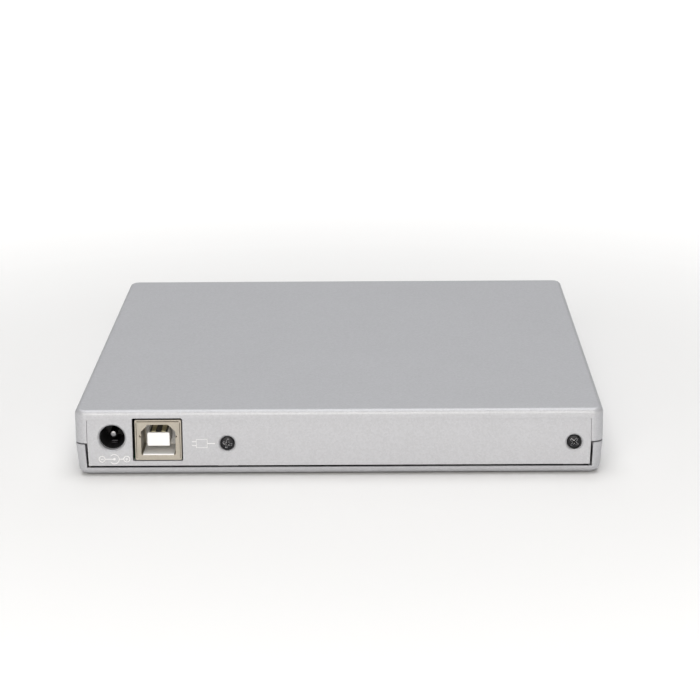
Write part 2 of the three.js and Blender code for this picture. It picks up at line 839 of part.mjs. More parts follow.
// The round plate inside the frame, with two of the pins that carry the traverse.
function trayDeck() {
  const radius = recessRadius - 3 * SEAT;
  const corner = Math.acos(deckHalf / radius);
  const outline = new THREE.Shape();
  outline.absarc(0, discY, radius, corner, Math.PI - corner);
  outline.absarc(0, discY, radius, Math.PI + corner, 2 * Math.PI - corner);
  const plate = prism(outline, [deckZ, recessZ], { arcs: 18 });
  const posts = [-36, 16].map((x) =>
    cylinderZ(1.5, x, trayRearY - 26, [frameZ + 1.2 + SEAT, deckZ + 0.2], { sides: 12 }),
  );
  const pins = dampers.filter(underDeck).map(damperPin);
  return cut(join(plate, ...posts, ...pins), ...trayOpenings());
}

// Whether a damper's pin hangs from the deck; one further out hangs from the tray's frame.
const underDeck = ({ x, y }) => Math.hypot(x, y) < recessRadius - 3;

function damperPin({ x, y }) {
  const at = new THREE.Vector3(x, y, 0).applyMatrix4(traversePlace);
  return join(
    cylinderZ(2.6, at.x, at.y, [frameTopZ + 3.2, deckZ + 0.2], { sides: 16 }),
    cylinderZ(0.9, at.x, at.y, [frameZ + 0.2, frameTopZ + 3.4], { sides: 12 }),
  );
}

// What hangs from the frame's corners: the latch's pivot and the cradle of the ejector's spring.
function frameBosses() {
  const pivot = join(
    cylinderZ(1, latchPivot.x, latchPivot.y, [frameZ + 0.4, deckZ + 0.2], { sides: 16 }),
    cylinderZ(2, latchPivot.x, latchPivot.y, [frameTopZ + 2, deckZ + 0.2], { sides: 16 }),
  );
  const cradle = box(
    around(pusherX, 3),
    [trayRearY - 18, trayRearY - 16.4],
    [railZ - 2.4, deckZ + 0.2],
  );
  return [pivot, cradle];
}

function trayOpenings() {
  const through = [deckZ - 1, recessZ + 0.2];
  const round = cylinderZ(TURNTABLE_RADIUS + 2.8, 0, 0, through, { sides: 40, matrix: traversePlace });
  const lane = box([0, LENS_OUTER + 5.2], around(0, slotHalf + 2.4), through, traversePlace);
  const rebateZ = [recessZ - 0.5, trayTopZ];
  const rebate = prism(windowOutline(CLEARANCE), rebateZ, { matrix: traversePlace, arcs: 12 });
  return [
    round,
    lane,
    rebate,
    // the latch pin leaves through the rear wall, and the pusher stands out through it
    box(around(latchPin.x, 1.7), [trayRearY - 2, trayRearY + 1], [coverTopZ - 1, coverTopZ + 3.8]),
    cylinderY(1.5, pusherX, railZ, [trayRearY - 20, trayRearY + 1], 16),
    // the button, the light pipe and the release pin pass the front wall
    box(
      around(buttonX, BUTTON_WIDTH / 2 + 1.3),
      [trayY - 1, trayY + 2],
      around(buttonZ, BUTTON_HEIGHT / 2 + 0.9),
    ),
    cylinderY(1.3, pipeX, buttonZ, [trayY - 1, trayY + 2], 16),
    cylinderY(1, pinholeX, buttonZ, [trayY - 1, trayY + 2], 12),
  ];
}

// The outline of the cover round the spindle and the slot, in the traverse's own frame.
function windowOutline(grow) {
  const radius = TURNTABLE_RADIUS + 5.8 + grow;
  const half = 11 + grow;
  const reach = LENS_OUTER + 0.5 + grow;
  const start = Math.asin(half / radius);
  const shape = new THREE.Shape();
  shape.absarc(0, 0, radius, start, 2 * Math.PI - start);
  shape.lineTo(reach, -half);
  shape.lineTo(reach, half);
  return shape;
}

function pickupWindow() {
  const height = [recessZ - 0.5 + SEAT, recessZ - 0.1];
  const cutHeight = [recessZ - 1, recessZ + 1];
  return cut(
    prism(windowOutline(0), height, { arcs: 12 }),
    cylinderZ(TURNTABLE_RADIUS + 1, 0, 0, cutHeight, { sides: 40 }),
    box([0, LENS_OUTER + 4], around(0, slotHalf), cutHeight),
  );
}

function trayBottomCover() {
  const edge = trayRearY - 0.2;
  const plate = box(around(0, trayHalf - 0.2), [trayY + 1.3, edge], [coverZ, coverTopZ]);
  return cut(
    plate,
    box(around(latchPin.x, 1.7), [latchPin.y - 1.7, edge + 1], [coverZ - 1, coverTopZ + 1]),
    box(
      around(connectorX, ribbonHalf + 0.6),
      [trayRearY - 8, trayRearY - 5],
      [coverZ - 1, coverTopZ + 1],
    ),
  );
}

const bezelZ = [floorZ + 0.4, ceilingZ - 0.45];

function trayBezel() {
  const plate = prismY(rounded(around(0, bezelHalf), bezelZ, 1), [bezelY, trayY], {
    bevel: 0.4,
  });
  return cut(
    plate,
    prismY(
      rounded(
        around(buttonX, BUTTON_WIDTH / 2 + CLEARANCE),
        around(buttonZ, BUTTON_HEIGHT / 2 + CLEARANCE),
        0.9,
      ),
      [bezelY - 1, trayY + 1],
    ),
    cylinderY(1.1, pipeX, buttonZ, [bezelY - 1, trayY + 1], 20),
    cylinderY(0.55, pinholeX, buttonZ, [bezelY - 1, trayY + 1], 16),
  );
}

const lightPipe = () => cylinderY(0.9, pipeX, buttonZ, [bezelY, trayY + 5], 20);

function ejectButton() {
  const cap = prismY(
    rounded(around(buttonX, BUTTON_WIDTH / 2), around(buttonZ, BUTTON_HEIGHT / 2), 0.7),
    [bezelY - 0.25, trayY + 0.5],
    { bevel: 0.3 },
  );
  const flange = box(
    around(buttonX, BUTTON_WIDTH / 2 + 0.7),
    [trayY + 0.15, trayY + 0.75],
    around(buttonZ, BUTTON_HEIGHT / 2 + 0.4),
  );
  const stem = cylinderY(1, buttonX, buttonZ, [trayY + 0.7, trayY + 2.9], 12);
  return join(cap, flange, stem);
}

const ejectSwitch = () =>
  join(
    box(around(buttonX, 3), [trayY + 4.2, trayY + 7.2], [coverTopZ + 1, deckZ - SEAT]),
    cylinderY(1.2, buttonX, buttonZ, [trayY + 3.6, trayY + 4.4], 12),
  );

// The board at the back of the tray, clear of the traverse.
const mainBoard = () =>
  box([-40, 20], [trayRearY - 30.5, trayRearY - 2], [frameZ + 0.2, frameZ + 1.2]);

// The latch, drawn as it holds the pin, about its own pivot.
function latchLever() {
  const pin = new THREE.Vector2(latchPin.x - latchPivot.x, latchPin.y - latchPivot.y);
  const arm = polygon([
    [-1.6, 1.6],
    [1.6, -1.2],
    [pin.x - 1.6, pin.y - 1.5],
    [pin.x - 1.6, pin.y + 1.5],
    [pin.x + 1.2, pin.y + 1.5],
    [pin.x + 1.2, pin.y + 2.8],
    [pin.x - 4, pin.y + 2.8],
    [pin.x - 4, pin.y],
  ]);
  const tail = polygon([
    [0, 2],
    [-6.5, -0.4],
    [-6.5, -2.4],
    [0, -2],
  ]);
  const height = [0, 1];
  return cut(
    join(prism(arm, height), prism(tail, height), cylinderZ(2.6, 0, 0, height)),
    cylinderZ(1 + CLEARANCE, 0, 0, [-1, 2], { sides: 20 }),
  );
}

function ejectSolenoid() {
  const [x0, x1] = [latchPivot.x - 17, latchPivot.x - 7];
  const y = latchPivot.y - 8.5;
  const z = frameTopZ + 2;
  const yoke = cut(
    box([x0, x1], around(y, 4.2), [frameZ + 0.2, deckZ - 1]),
    box([x0 + 1, x1 - 1], around(y, 3.2), [frameZ, deckZ]),
  );
  const coil = cylinderX(2.6, y, z, [x0 + 0.5, x1 - 0.5]);
  const plunger = cylinderX(0.9, y, z, [x0 + 2, x1 + 3.5], 12);
  return join(yoke, coil, plunger);
}

// The spring-loaded pusher that starts the tray on its way out, held in against the chassis.
function ejectorPusher() {
  return join(
    cylinderY(1, pusherX, railZ, [trayRearY - 19, panRearY - CLEARANCE], 16),
    cylinderY(2.2, pusherX, railZ, [trayRearY - 2.8, trayRearY - 1.8], 20),
  );
}

function addTray() {
  node("tray", tray(), blackPlastic);
  node("tray_deck", trayDeck(), blackPlastic);
  node("tray_bezel", trayBezel(), silverPaint);
  node("light_pipe", lightPipe(), clearPlastic);
  node("tray_bottom_cover", trayBottomCover(), steel);
  node("eject_button", ejectButton(), silverPaint);
  node("eject_switch", ejectSwitch(), greyPlastic);
  node("main_board", mainBoard(), boardGreen);
  node("eject_solenoid", ejectSolenoid(), copper);
  const latch = node("latch_lever", latchLever(), steel);
  latch.position.set(latchPivot.x, latchPivot.y, frameTopZ + 0.6);
  latch.rotation.z = LATCH_SWING; // let go of the pin
  node("ejector_pusher", ejectorPusher(), greyPlastic);
}

// ---------------------------------------------------------------- the traverse, in its own frame

const bearing = {
  inner: LENS_INNER - bearingReach.inner,
  outer: LENS_OUTER + bearingReach.outer,
};
const lugs = [
  [bearing.inner - 2.4, bearing.inner - 0.6],
  [bearing.outer + 0.6, bearing.outer + 2.4],
];

function traverseFrame() {
  const end = lugs[1][1] + 0.2;
  const plate = polygon([
    [-19, frameSide.low],
    [end - 4.3, frameSide.low],
    [end, frameSide.low + 4.3],
    [end, frameSide.high - 4.6],
    [end - 4.6, frameSide.high],
    [-19, frameSide.high],
  ]);
  const height = [frameZ, frameTopZ];
  const window = prism(
    rounded([LENS_INNER - 5, LENS_OUTER - 4], around(0, 11), 2),
    [frameZ - 1, frameTopZ + 1],
  );
  const foldZ = [frameZ + 0.1, frameTopZ + 2];
  const folds = [
    box([-10, 44], [frameSide.low, frameSide.low + 0.8], foldZ),
    box([-6, 44], [frameSide.high - 0.8, frameSide.high], foldZ),
  ];
  const shaftLugs = [-1, 1].flatMap((side) =>
    lugs.map((range) =>
      box(range, around(side * shaftV, 1.6), [frameZ + 0.1, shaftZ + 2.2]),
    ),
  );
  const screwLug = box(
    [LENS_OUTER - 7, LENS_OUTER - 5.6],
    around(leadScrewV, 1.8),
    [frameZ + 0.1, screwAxisZ + 1.4],
  );
  const bores = [-1, 1].map((side) =>
    cylinderX(
      SHAFT_RADIUS + 0.25,
      side * shaftV,
      shaftZ,
      [0, bearing.outer + 5],
      16,
    ),
  );
  return cut(
    join(prism(plate, height), ...folds, ...shaftLugs, screwLug),
    window,
    ...bores,
    cylinderX(1.1, leadScrewV, screwAxisZ, [LENS_OUTER - 9, LENS_OUTER], 16),
    ...dampers.map(({ x, y }) =>
      cylinderZ(1.5, x, y, [frameZ - 1, frameTopZ + 1], { sides: 16 }),
    ),
  );
}

const damper = () =>
  turned(
    [
      [1.2, 0],
      [3, 0],
      [3, 0.9],
      [2.3, 1.25],
      [2.3, 1.75],
      [3, 2.1],
      [3, 3],
      [1.2, 3],
      [1.2, 0],
    ],
    12,
  );

const guideShaft = () =>
  cylinderX(SHAFT_RADIUS, 0, 0, [lugs[0][0] + 0.3, lugs[1][1] - 0.3], 20);

function spindleStator() {
  const base = frameTopZ + 0.1;
  const coreTop = deckZ - 1.2;
  return turned([
    [1.1, base + 0.3],
    [1.1, base],
    [11.3, base],
    [11.3, base + 0.8],
    [4, base + 0.8],
    [4, base + 1.3],
    [9, base + 1.3],
    [9, coreTop - 0.2],
    [2.8, coreTop - 0.2],
    [2.8, coreTop],
    [1.1, coreTop],
    [1.1, base + 0.3],
  ]);
}

const turntableTopZ = recessZ - 0.1;

// The rotor's bell and the disc's seat, turned in one piece with the shaft.
function turntable() {
  const bellTop = deckZ - 0.7;
  return turned([
    [0, frameTopZ + 0.6],
    [0.8, frameTopZ + 0.6],
    [0.8, bellTop],
    [10.2, bellTop],
    [10.2, frameTopZ + 1.3],
    [11, frameTopZ + 1.3],
    [11, deckZ - 0.1],
    [TURNTABLE_RADIUS, deckZ - 0.1],
    [TURNTABLE_RADIUS, turntableTopZ],
    [0, turntableTopZ],
  ]);
}

const turntableRing = () =>
  turned([
    [TURNTABLE_RADIUS - 3.8, turntableTopZ + SEAT],
    [TURNTABLE_RADIUS - 0.2, turntableTopZ + SEAT],
    [TURNTABLE_RADIUS - 0.2, discZ],
    [TURNTABLE_RADIUS - 3.8, discZ],
    [TURNTABLE_RADIUS - 3.8, turntableTopZ + SEAT],
  ]);

// The boss that centres the disc, with three claws that snap over the edge of its bore.
function clampHub() {
  const radius = DISC_BORE / 2 - 0.2;
  const rim = discZ + DISC_THICKNESS;
  const boss = turned([
    [0, turntableTopZ + SEAT],
    [radius, turntableTopZ + SEAT],
    [radius, rim - 0.1],
    [radius - 1.1, rim + 0.5],
    [radius - 2.4, rim + 0.5],
    [radius - 2.6, rim + 0.2],
    [0, rim + 0.2],
  ]);
  const claws = [0, 1, 2].map((i) => {
    const turn = new THREE.Matrix4().makeRotationZ((i / 3) * 2 * Math.PI);
    const claw = new THREE.SphereGeometry(0.7, 8, 6).translate(radius - 0.2, 0, rim - 0.25);
    return solid(claw, turn);
  });
  return join(boss, ...claws);
}

// The sled is drawn about the lens, with the lens's axis at x = 0, y = 0.
function pickupSled() {
  const half = shaftV;
  const arms = [-1, 1].map((side) =>
    box(
      [-bearingReach.inner, bearingReach.outer],
      side > 0 ? [half - 3.6, half + 2] : [-half - 2, -half + 3.6],
      [sledZ, shaftZ + 1.8],
    ),
  );
  const core = prism(rounded([-8.6, 5.2], around(0, half - 3), 1.5), [sledZ, sledTopZ]);
  const well = box(around(0, 4.4), around(0, slotHalf), [sledTopZ - 2.8, sledTopZ + 1]);
  const bores = [-1, 1].map((side) =>
    cylinderX(SHAFT_RADIUS + CLEARANCE, side * half, shaftZ, [-20, 20], 20),
  );
  const fork = box([-20, 20], [-half - 3, -half], around(shaftZ, SHAFT_RADIUS + CLEARANCE));
  return cut(join(core, ...arms), well, ...bores, fork);
}

const sledFollower = () =>
  join(
    box(
      [-bearingReach.inner + 1, -bearingReach.inner + 6],
      [shaftV - 2, leadScrewV + 1.7],
      [shaftZ + 2, shaftZ + 2.6],
    ),
    box(
      [-bearingReach.inner + 2, -bearingReach.inner + 5],
      around(leadScrewV, 1.2),
      [screwAxisZ + 1.6, shaftZ + 2.3],
    ),
  );

const lensHolder = () =>
  cut(
    prism(rounded(around(0, 3.6), around(0, 4.8), 0.8), [sledTopZ - 2, sledTopZ + 0.7], {
      bevel: 0.2,
    }),
    cylinderZ(2.15, 0, 0, [sledTopZ, sledTopZ + 2], { sides: 24 }),
    cylinderZ(1.3, 0, 0, [sledTopZ - 3, sledTopZ + 2], { sides: 20 }),
  );

const objectiveLens = () =>
  turned(
    [
      [0, sledTopZ + 0.05],
      [1.9, sledTopZ + 0.05],
      [1.9, sledTopZ + 0.45],
      [1.7, sledTopZ + 0.55],
      [1.2, sledTopZ + 0.85],
      [0.6, sledTopZ + 0.97],
      [0, sledTopZ + 1],
    ],
    24,
  );

function leadScrew() {
  const start = bearing.inner - 1.6;
  const end = LENS_OUTER - 7.4;
  return join(
    cylinderX(1.3, 0, 0, [start, end], 24),
    cylinderX(0.75, 0, 0, [start, LENS_OUTER - 6], 12),
  );
}

const sledMotor = () =>
  prismY(rounded(around(0, 3.1), around(0, 2.3), 1.4), [-(bearing.inner - 2), 5]);

function addTraverse() {
  const traverse = new THREE.Group();
  traverse.applyMatrix4(traversePlace);
  optical.add(traverse);

  node("pickup_window", pickupWindow(), greyPlastic, traverse);
  node("traverse_frame", traverseFrame(), steel, traverse);
  dampers.forEach(({ x, y }, i) => {
    node(`damper_${i + 1}`, damper(), rubber, traverse).position.set(x, y, frameTopZ + 0.1);
  });
  for (const [hand, side] of [
    ["inner", -1],
    ["outer", 1],
  ]) {
    const shaft = node(`guide_shaft_${hand}`, guideShaft(), steel, traverse);
    shaft.position.set(0, side * shaftV, shaftZ);
  }
  node("spindle_stator", spindleStator(), copper, traverse);
  const motor = node("sled_motor", sledMotor(), steel, traverse);
  motor.position.set(0, leadScrewV, screwAxisZ);
  motor.rotation.z = -Math.PI / 2;
  node("lead_screw", leadScrew(), steel, traverse).position.set(0, leadScrewV, screwAxisZ);

  const spindle = new THREE.Group();
  traverse.add(spindle);
  node("turntable", turntable(), steel, spindle);
  node("turntable_ring", turntableRing(), rubber, spindle);
  node("clamp_hub", clampHub(), blackPlastic, spindle);

  const pickup = new THREE.Group();
  pickup.position.x = LENS_INNER;
  traverse.add(pickup);
  node("pickup_sled", pickupSled(), greyPlastic, pickup);
  node("sled_follower", sledFollower(), whitePlastic, pickup);
  node("lens_holder", lensHolder(), blackPlastic, pickup);
  node("objective_lens", objectiveLens(), lensGlass, pickup);
}

addCase();
addBridge();
addChassis();
addTray();
addTraverse();

export default optical;
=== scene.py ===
"""Looks of a slim external disc drive: its painted shells, sockets, screws, tray and traverse.

Every length is in metres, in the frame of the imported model: +Z up, +Y out of the connector side,
-Y the way the tray leaves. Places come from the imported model's own pieces.
"""

import json
import logging
import math
from collections.abc import Callable, Iterable, Sequence
from dataclasses import dataclass
from enum import Enum

import bmesh
import bpy
from mathutils import Matrix, Vector


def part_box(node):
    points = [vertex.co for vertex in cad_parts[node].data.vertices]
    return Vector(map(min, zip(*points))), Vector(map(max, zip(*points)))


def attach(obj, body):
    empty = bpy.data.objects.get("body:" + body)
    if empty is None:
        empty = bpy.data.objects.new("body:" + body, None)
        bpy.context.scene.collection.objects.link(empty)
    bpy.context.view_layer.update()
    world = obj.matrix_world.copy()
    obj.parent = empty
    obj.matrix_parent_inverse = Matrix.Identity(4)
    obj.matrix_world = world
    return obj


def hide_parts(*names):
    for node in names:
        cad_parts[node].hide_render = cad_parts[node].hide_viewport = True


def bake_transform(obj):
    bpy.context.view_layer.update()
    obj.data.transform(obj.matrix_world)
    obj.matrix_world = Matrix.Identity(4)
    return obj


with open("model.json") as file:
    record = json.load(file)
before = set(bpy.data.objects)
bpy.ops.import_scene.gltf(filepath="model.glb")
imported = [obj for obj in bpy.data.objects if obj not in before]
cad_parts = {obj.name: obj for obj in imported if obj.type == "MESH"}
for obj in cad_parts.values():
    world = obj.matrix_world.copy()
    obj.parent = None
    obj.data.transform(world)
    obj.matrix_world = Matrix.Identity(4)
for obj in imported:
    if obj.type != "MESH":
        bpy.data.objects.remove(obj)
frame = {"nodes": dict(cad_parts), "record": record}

log = logging.getLogger("optical_drive")

MM = 0.001
Point = tuple[float, float, float]
Span = tuple[float, float]

ENDS, HANDS = ("front", "rear"), ("left", "right")
REAR_SCREWS = tuple(f"rear_screw_{hand}" for hand in HANDS)
DRIVE_SCREWS = tuple(f"drive_screw_{end}_{hand}" for end in ENDS for hand in HANDS)
FEET = tuple(f"foot_{end}_{hand}" for end in ENDS for hand in HANDS)


class Body(Enum):
    """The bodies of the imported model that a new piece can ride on."""

    CASE = "case"
    TRAY = "tray"
    BUTTON = "button"
    SPINDLE = "spindle"
    SLED = "sled"
    LENS = "lens"
    LEAD_SCREW = "lead_screw"


class Axis(Enum):
    """The axis that a rod or a turned piece lies along."""

    X = 0
    Y = 1
    Z = 2

    def turn(self) -> Matrix:
        """A matrix that takes +Z to this axis."""
        if self is Axis.X:
            return Matrix.Rotation(math.pi / 2, 4, "Y")
        if self is Axis.Y:
            return Matrix.Rotation(-math.pi / 2, 4, "X")
        return Matrix.Identity(4)


# ------------------------------------------------------------------ shaping


def middle(node: str) -> Vector:
    """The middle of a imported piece's box.

    Args:
        node: the piece's name.

    Returns:
        The point halfway between its lowest and highest corners.
    """
    low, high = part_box(node)
    return (low + high) / 2


def grown(span: Span, by: float) -> Span:
    """A span made longer by the same amount at both ends."""
    return span[0] - by, span[1] + by


class Workpiece:
    """A mesh under way, shaped by bmesh operators in the object's own frame."""

    def __init__(self) -> None:
        """Starts with nothing in the mesh."""
        self.mesh = bmesh.new()

    @classmethod
    def block(cls, x: Span, y: Span, z: Span) -> "Workpiece":
        """A box between two corners.

        Args:
            x: its reach along X.
            y: its reach along Y.
            z: its reach along Z.

        Returns:
            The box as a workpiece.
        """
        work = cls()
        size = Matrix.Diagonal((x[1] - x[0], y[1] - y[0], z[1] - z[0], 1))
        place = Matrix.Translation(((x[0] + x[1]) / 2, (y[0] + y[1]) / 2, (z[0] + z[1]) / 2))
        bmesh.ops.create_cube(work.mesh, size=1, matrix=place @ size)
        return work

    @classmethod
    def rod(
        cls, at: Vector, span: Span, radii: Span | float, axis: Axis = Axis.Z, sides: int = 48
    ) -> "Workpiece":
        """A round bar or cone along an axis.

        Args:
            at: a point on its middle line; the part along the axis isn't used.
            span: where it starts and ends along the axis.
            radii: its radius, or its radii at its start and at its end.
            axis: the axis it lies along.
            sides: the number of its sides.

        Returns:
            The bar as a workpiece.
        """
        work = cls()
        first, last = radii if isinstance(radii, tuple) else (radii, radii)
        centre = at.copy()
        centre[axis.value] = (span[0] + span[1]) / 2
        bmesh.ops.create_cone(
            work.mesh,
            cap_ends=True,
            segments=sides,
            radius1=first,
            radius2=last,
            depth=span[1] - span[0],
            matrix=Matrix.Translation(centre) @ axis.turn(),
        )
        return work

    @classmethod
    def turned(
        cls, profile: Sequence[Span], at: Point, axis: Axis = Axis.Z, sides: int = 64
    ) -> "Workpiece":
        """A profile spun a full turn.

        Args:
            profile: (radius, height) points; a closed ring repeats its first point.
            at: where the foot of the profile's axis stands.
            axis: the axis it is spun about.
            sides: the number of steps of the spin.

        Returns:
            The turned piece, with its normals facing out.
        """
        work = cls()
        points = [work.mesh.verts.new((radius, 0, height)) for radius, height in profile]
        edges = [work.mesh.edges.new(pair) for pair in zip(points, points[1:])]
        bmesh.ops.spin(
            work.mesh,
            geom=[*points, *edges],
            cent=(0, 0, 0),
            axis=(0, 0, 1),
            angle=2 * math.pi,
            steps=sides,
            use_merge=True,
        )
        work.weld()
        bmesh.ops.transform(
            work.mesh, matrix=Matrix.Translation(at) @ axis.turn(), verts=work.mesh.verts
        )
        return work

    @classmethod
    def plate(cls, outline: Sequence[Span], along: Span, axis: Axis) -> "Workpiece":
        """A flat outline given thickness along an axis.

        Args:
            outline: its corners, as (x, y) for a plate along Z and (x, z) for one along Y.
            along: where it starts and ends along the axis.
            axis: Axis.Y or Axis.Z.

        Returns:
            The plate as a workpiece.
        """
        work = cls()
        upright = axis is Axis.Y
        corners = [(a, along[0], b) if upright else (a, b, along[0]) for a, b in outline]
        face = work.mesh.faces.new([work.mesh.verts.new(corner) for corner in corners])
        grown_out = bmesh.ops.extrude_face_region(work.mesh, geom=[face])
        moved = [item for item in grown_out["geom"] if isinstance(item, bmesh.types.BMVert)]
        step = Vector((0, 0, 0))
        step[axis.value] = along[1] - along[0]
        bmesh.ops.translate(work.mesh, verts=moved, vec=step)
        bmesh.ops.recalc_face_normals(work.mesh, faces=work.mesh.faces)
        return work

    def weld(self) -> "Workpiece":
        """Merges doubles, closes seams and poles and turns the faces out."""
        bmesh.ops.remove_doubles(self.mesh, verts=self.mesh.verts, dist=1e-7)
        bmesh.ops.recalc_face_normals(self.mesh, faces=self.mesh.faces)
        return self

    def round_edges(
        self, pick: Callable[[bmesh.types.BMEdge], bool], radius: float, segments: int
    ) -> "Workpiece":
        """Rounds the edges that a test picks.

        Args:
            pick: says whether an edge is rounded.
            radius: how far the rounding reaches into the faces beside it.
            segments: the number of its steps.

        Returns:
            This workpiece.
        """
        bmesh.ops.bevel(
            self.mesh,
            geom=[edge for edge in self.mesh.edges if pick(edge)],
            offset=radius,
            offset_type="OFFSET",
            segments=segments,
            profile=0.5,
            affect="EDGES",
            clamp_overlap=False,
            material=-1,
        )
        return self

    def move(self, matrix: Matrix) -> "Workpiece":
        """Moves, turns or scales the whole workpiece."""
        bmesh.ops.transform(self.mesh, matrix=matrix, verts=self.mesh.verts)
        return self

    def make(self, name: str) -> bpy.types.Object:
        """Ends the work and puts the mesh in the scene.

        Args:
            name: the new object's name.

        Returns:
            The object, at the origin, with its place in its mesh.
        """
        data = bpy.data.meshes.new(name)
        self.mesh.to_mesh(data)
        self.mesh.free()
        made = bpy.data.objects.new(name, data)
        bpy.context.scene.collection.objects.link(made)
        return made


def upright_edge(edge: bmesh.types.BMEdge) -> bool:
    """Whether an edge runs along Z."""
    a, b = (vert.co for vert in edge.verts)
    return abs(a.z - b.z) > 1e-6 and (a.xy - b.xy).length < 1e-6


def edge_along_y(edge: bmesh.types.BMEdge) -> bool:
    """Whether an edge runs along Y."""
    a, b = (vert.co for vert in edge.verts)
    return abs(a.y - b.y) > 1e-6 and math.hypot(a.x - b.x, a.z - b.z) < 1e-6


def rim_at(height: float, axis: Axis = Axis.Z) -> Callable[[bmesh.types.BMEdge], bool]:
    """A test for the edges that lie at one height along an axis."""
    return lambda edge: all(abs(vert.co[axis.value] - height) < 1e-6 for vert in edge.verts)


def settle(piece: bpy.types.Object) -> None:
    """Applies a piece's modifiers to its mesh.

    Args:
        piece: the piece, which keeps its name and its materials.
    """
    graph = bpy.context.evaluated_depsgraph_get()
    finished = bpy.data.meshes.new_from_object(piece.evaluated_get(graph), depsgraph=graph)
    piece.modifiers.clear()
    piece.data = finished


def carve(
    piece: bpy.types.Object,
    tools: Iterable[Workpiece],
    operation: str = "DIFFERENCE",
) -> bpy.types.Object:
    """Cuts other shapes out of a piece, or joins them to it.

    Args:
        piece: the piece that is changed.
        tools: the shapes to cut or join, which are used up.
        operation: DIFFERENCE or UNION.

    Returns:
        The piece.
    """
    cutters = [tool.make("tool") for tool in tools]
    for cutter in cutters:
        change = piece.modifiers.new("carve", "BOOLEAN")
        change.operation = operation
        change.solver = "EXACT"
        change.object = cutter
    settle(piece)
    for cutter in cutters:
        bpy.data.objects.remove(cutter)
    return piece


def soften(
    piece: bpy.types.Object,
    width: float,
    angle: float = 35.0,
    segments: int = 2,
    edge_finish: int = -1,
) -> None:
    """Breaks a piece's sharp edges as moulding or stamping does, and smooths its shading.

    Args:
        piece: the piece.
        width: the width of the broken edge.
        angle: the least angle between faces, in degrees, that counts as an edge.
        segments: the steps of the rounding.
        edge_finish: the place among the piece's finishes of the one on its broken edges.
    """
    rounding = piece.modifiers.new("broken edges", "BEVEL")
    rounding.width = width
    rounding.segments = segments
    rounding.limit_method = "ANGLE"
    rounding.angle_limit = math.radians(angle)
    rounding.material = edge_finish
    settle(piece)
    smooth(piece, angle)
    flat_faces = piece.modifiers.new("flat faces", "WEIGHTED_NORMAL")
    flat_faces.weight = 100
    flat_faces.keep_sharp = True
    settle(piece)


def smooth(piece: bpy.types.Object, angle: float = 35.0) -> None:
    """Shades a piece smooth except at edges over an angle in degrees."""
    piece.data.shade_smooth()
    piece.data.set_sharp_from_angle(angle=math.radians(angle))


def bead(name: str, lines: Sequence[Sequence[Point]], radius: float) -> bpy.types.Object:
    """A raised line with a round section.

    Args:
        name: the new object's name.
        lines: the lines' points; a line that ends where it starts is closed.
        radius: the radius of the section.

    Returns:
        The line as a mesh object.
    """
    curve = bpy.data.curves.new(name, "CURVE")
    curve.dimensions = "3D"
    curve.bevel_depth = radius
    curve.bevel_resolution = 3
    curve.use_fill_caps = True
    for points in lines:
        closed = (Vector(points[0]) - Vector(points[-1])).length < 1e-9
        kept = points[:-1] if closed else points
        spline = curve.splines.new("POLY")
        spline.points.add(len(kept) - 1)
        for place, point in zip(spline.points, kept):
            place.co = (*point, 1)
        spline.use_cyclic_u = closed
    holder = bpy.data.objects.new(name, curve)
    bpy.context.scene.collection.objects.link(holder)
    graph = bpy.context.evaluated_depsgraph_get()
    data = bpy.data.meshes.new_from_object(holder.evaluated_get(graph), depsgraph=graph)
    bpy.data.objects.remove(holder)
    made = bpy.data.objects.new(name, data)
    bpy.context.scene.collection.objects.link(made)
    smooth(made)
    return made


def arc(centre: Span, radius: float, start: float, end: float, depth: float) -> list[Point]:
    """Points of an arc on the back of the case, in its XZ plane.

    Args:
        centre: (x, z) of its centre.
        radius: its radius.
        start: the angle where it starts, in degrees.
        end: the angle where it ends, in degrees.
        depth: its Y.

    Returns:
        Its points, a dozen degrees apart.
    """
    steps = max(2, round(abs(end - start) / 12))
    angles = [math.radians(start + (end - start) * i / steps) for i in range(steps + 1)]
    return [
        (centre[0] + radius * math.cos(a), depth, centre[1] + radius * math.sin(a))
        for a in angles
    ]


# ------------------------------------------------------------------ shader parts


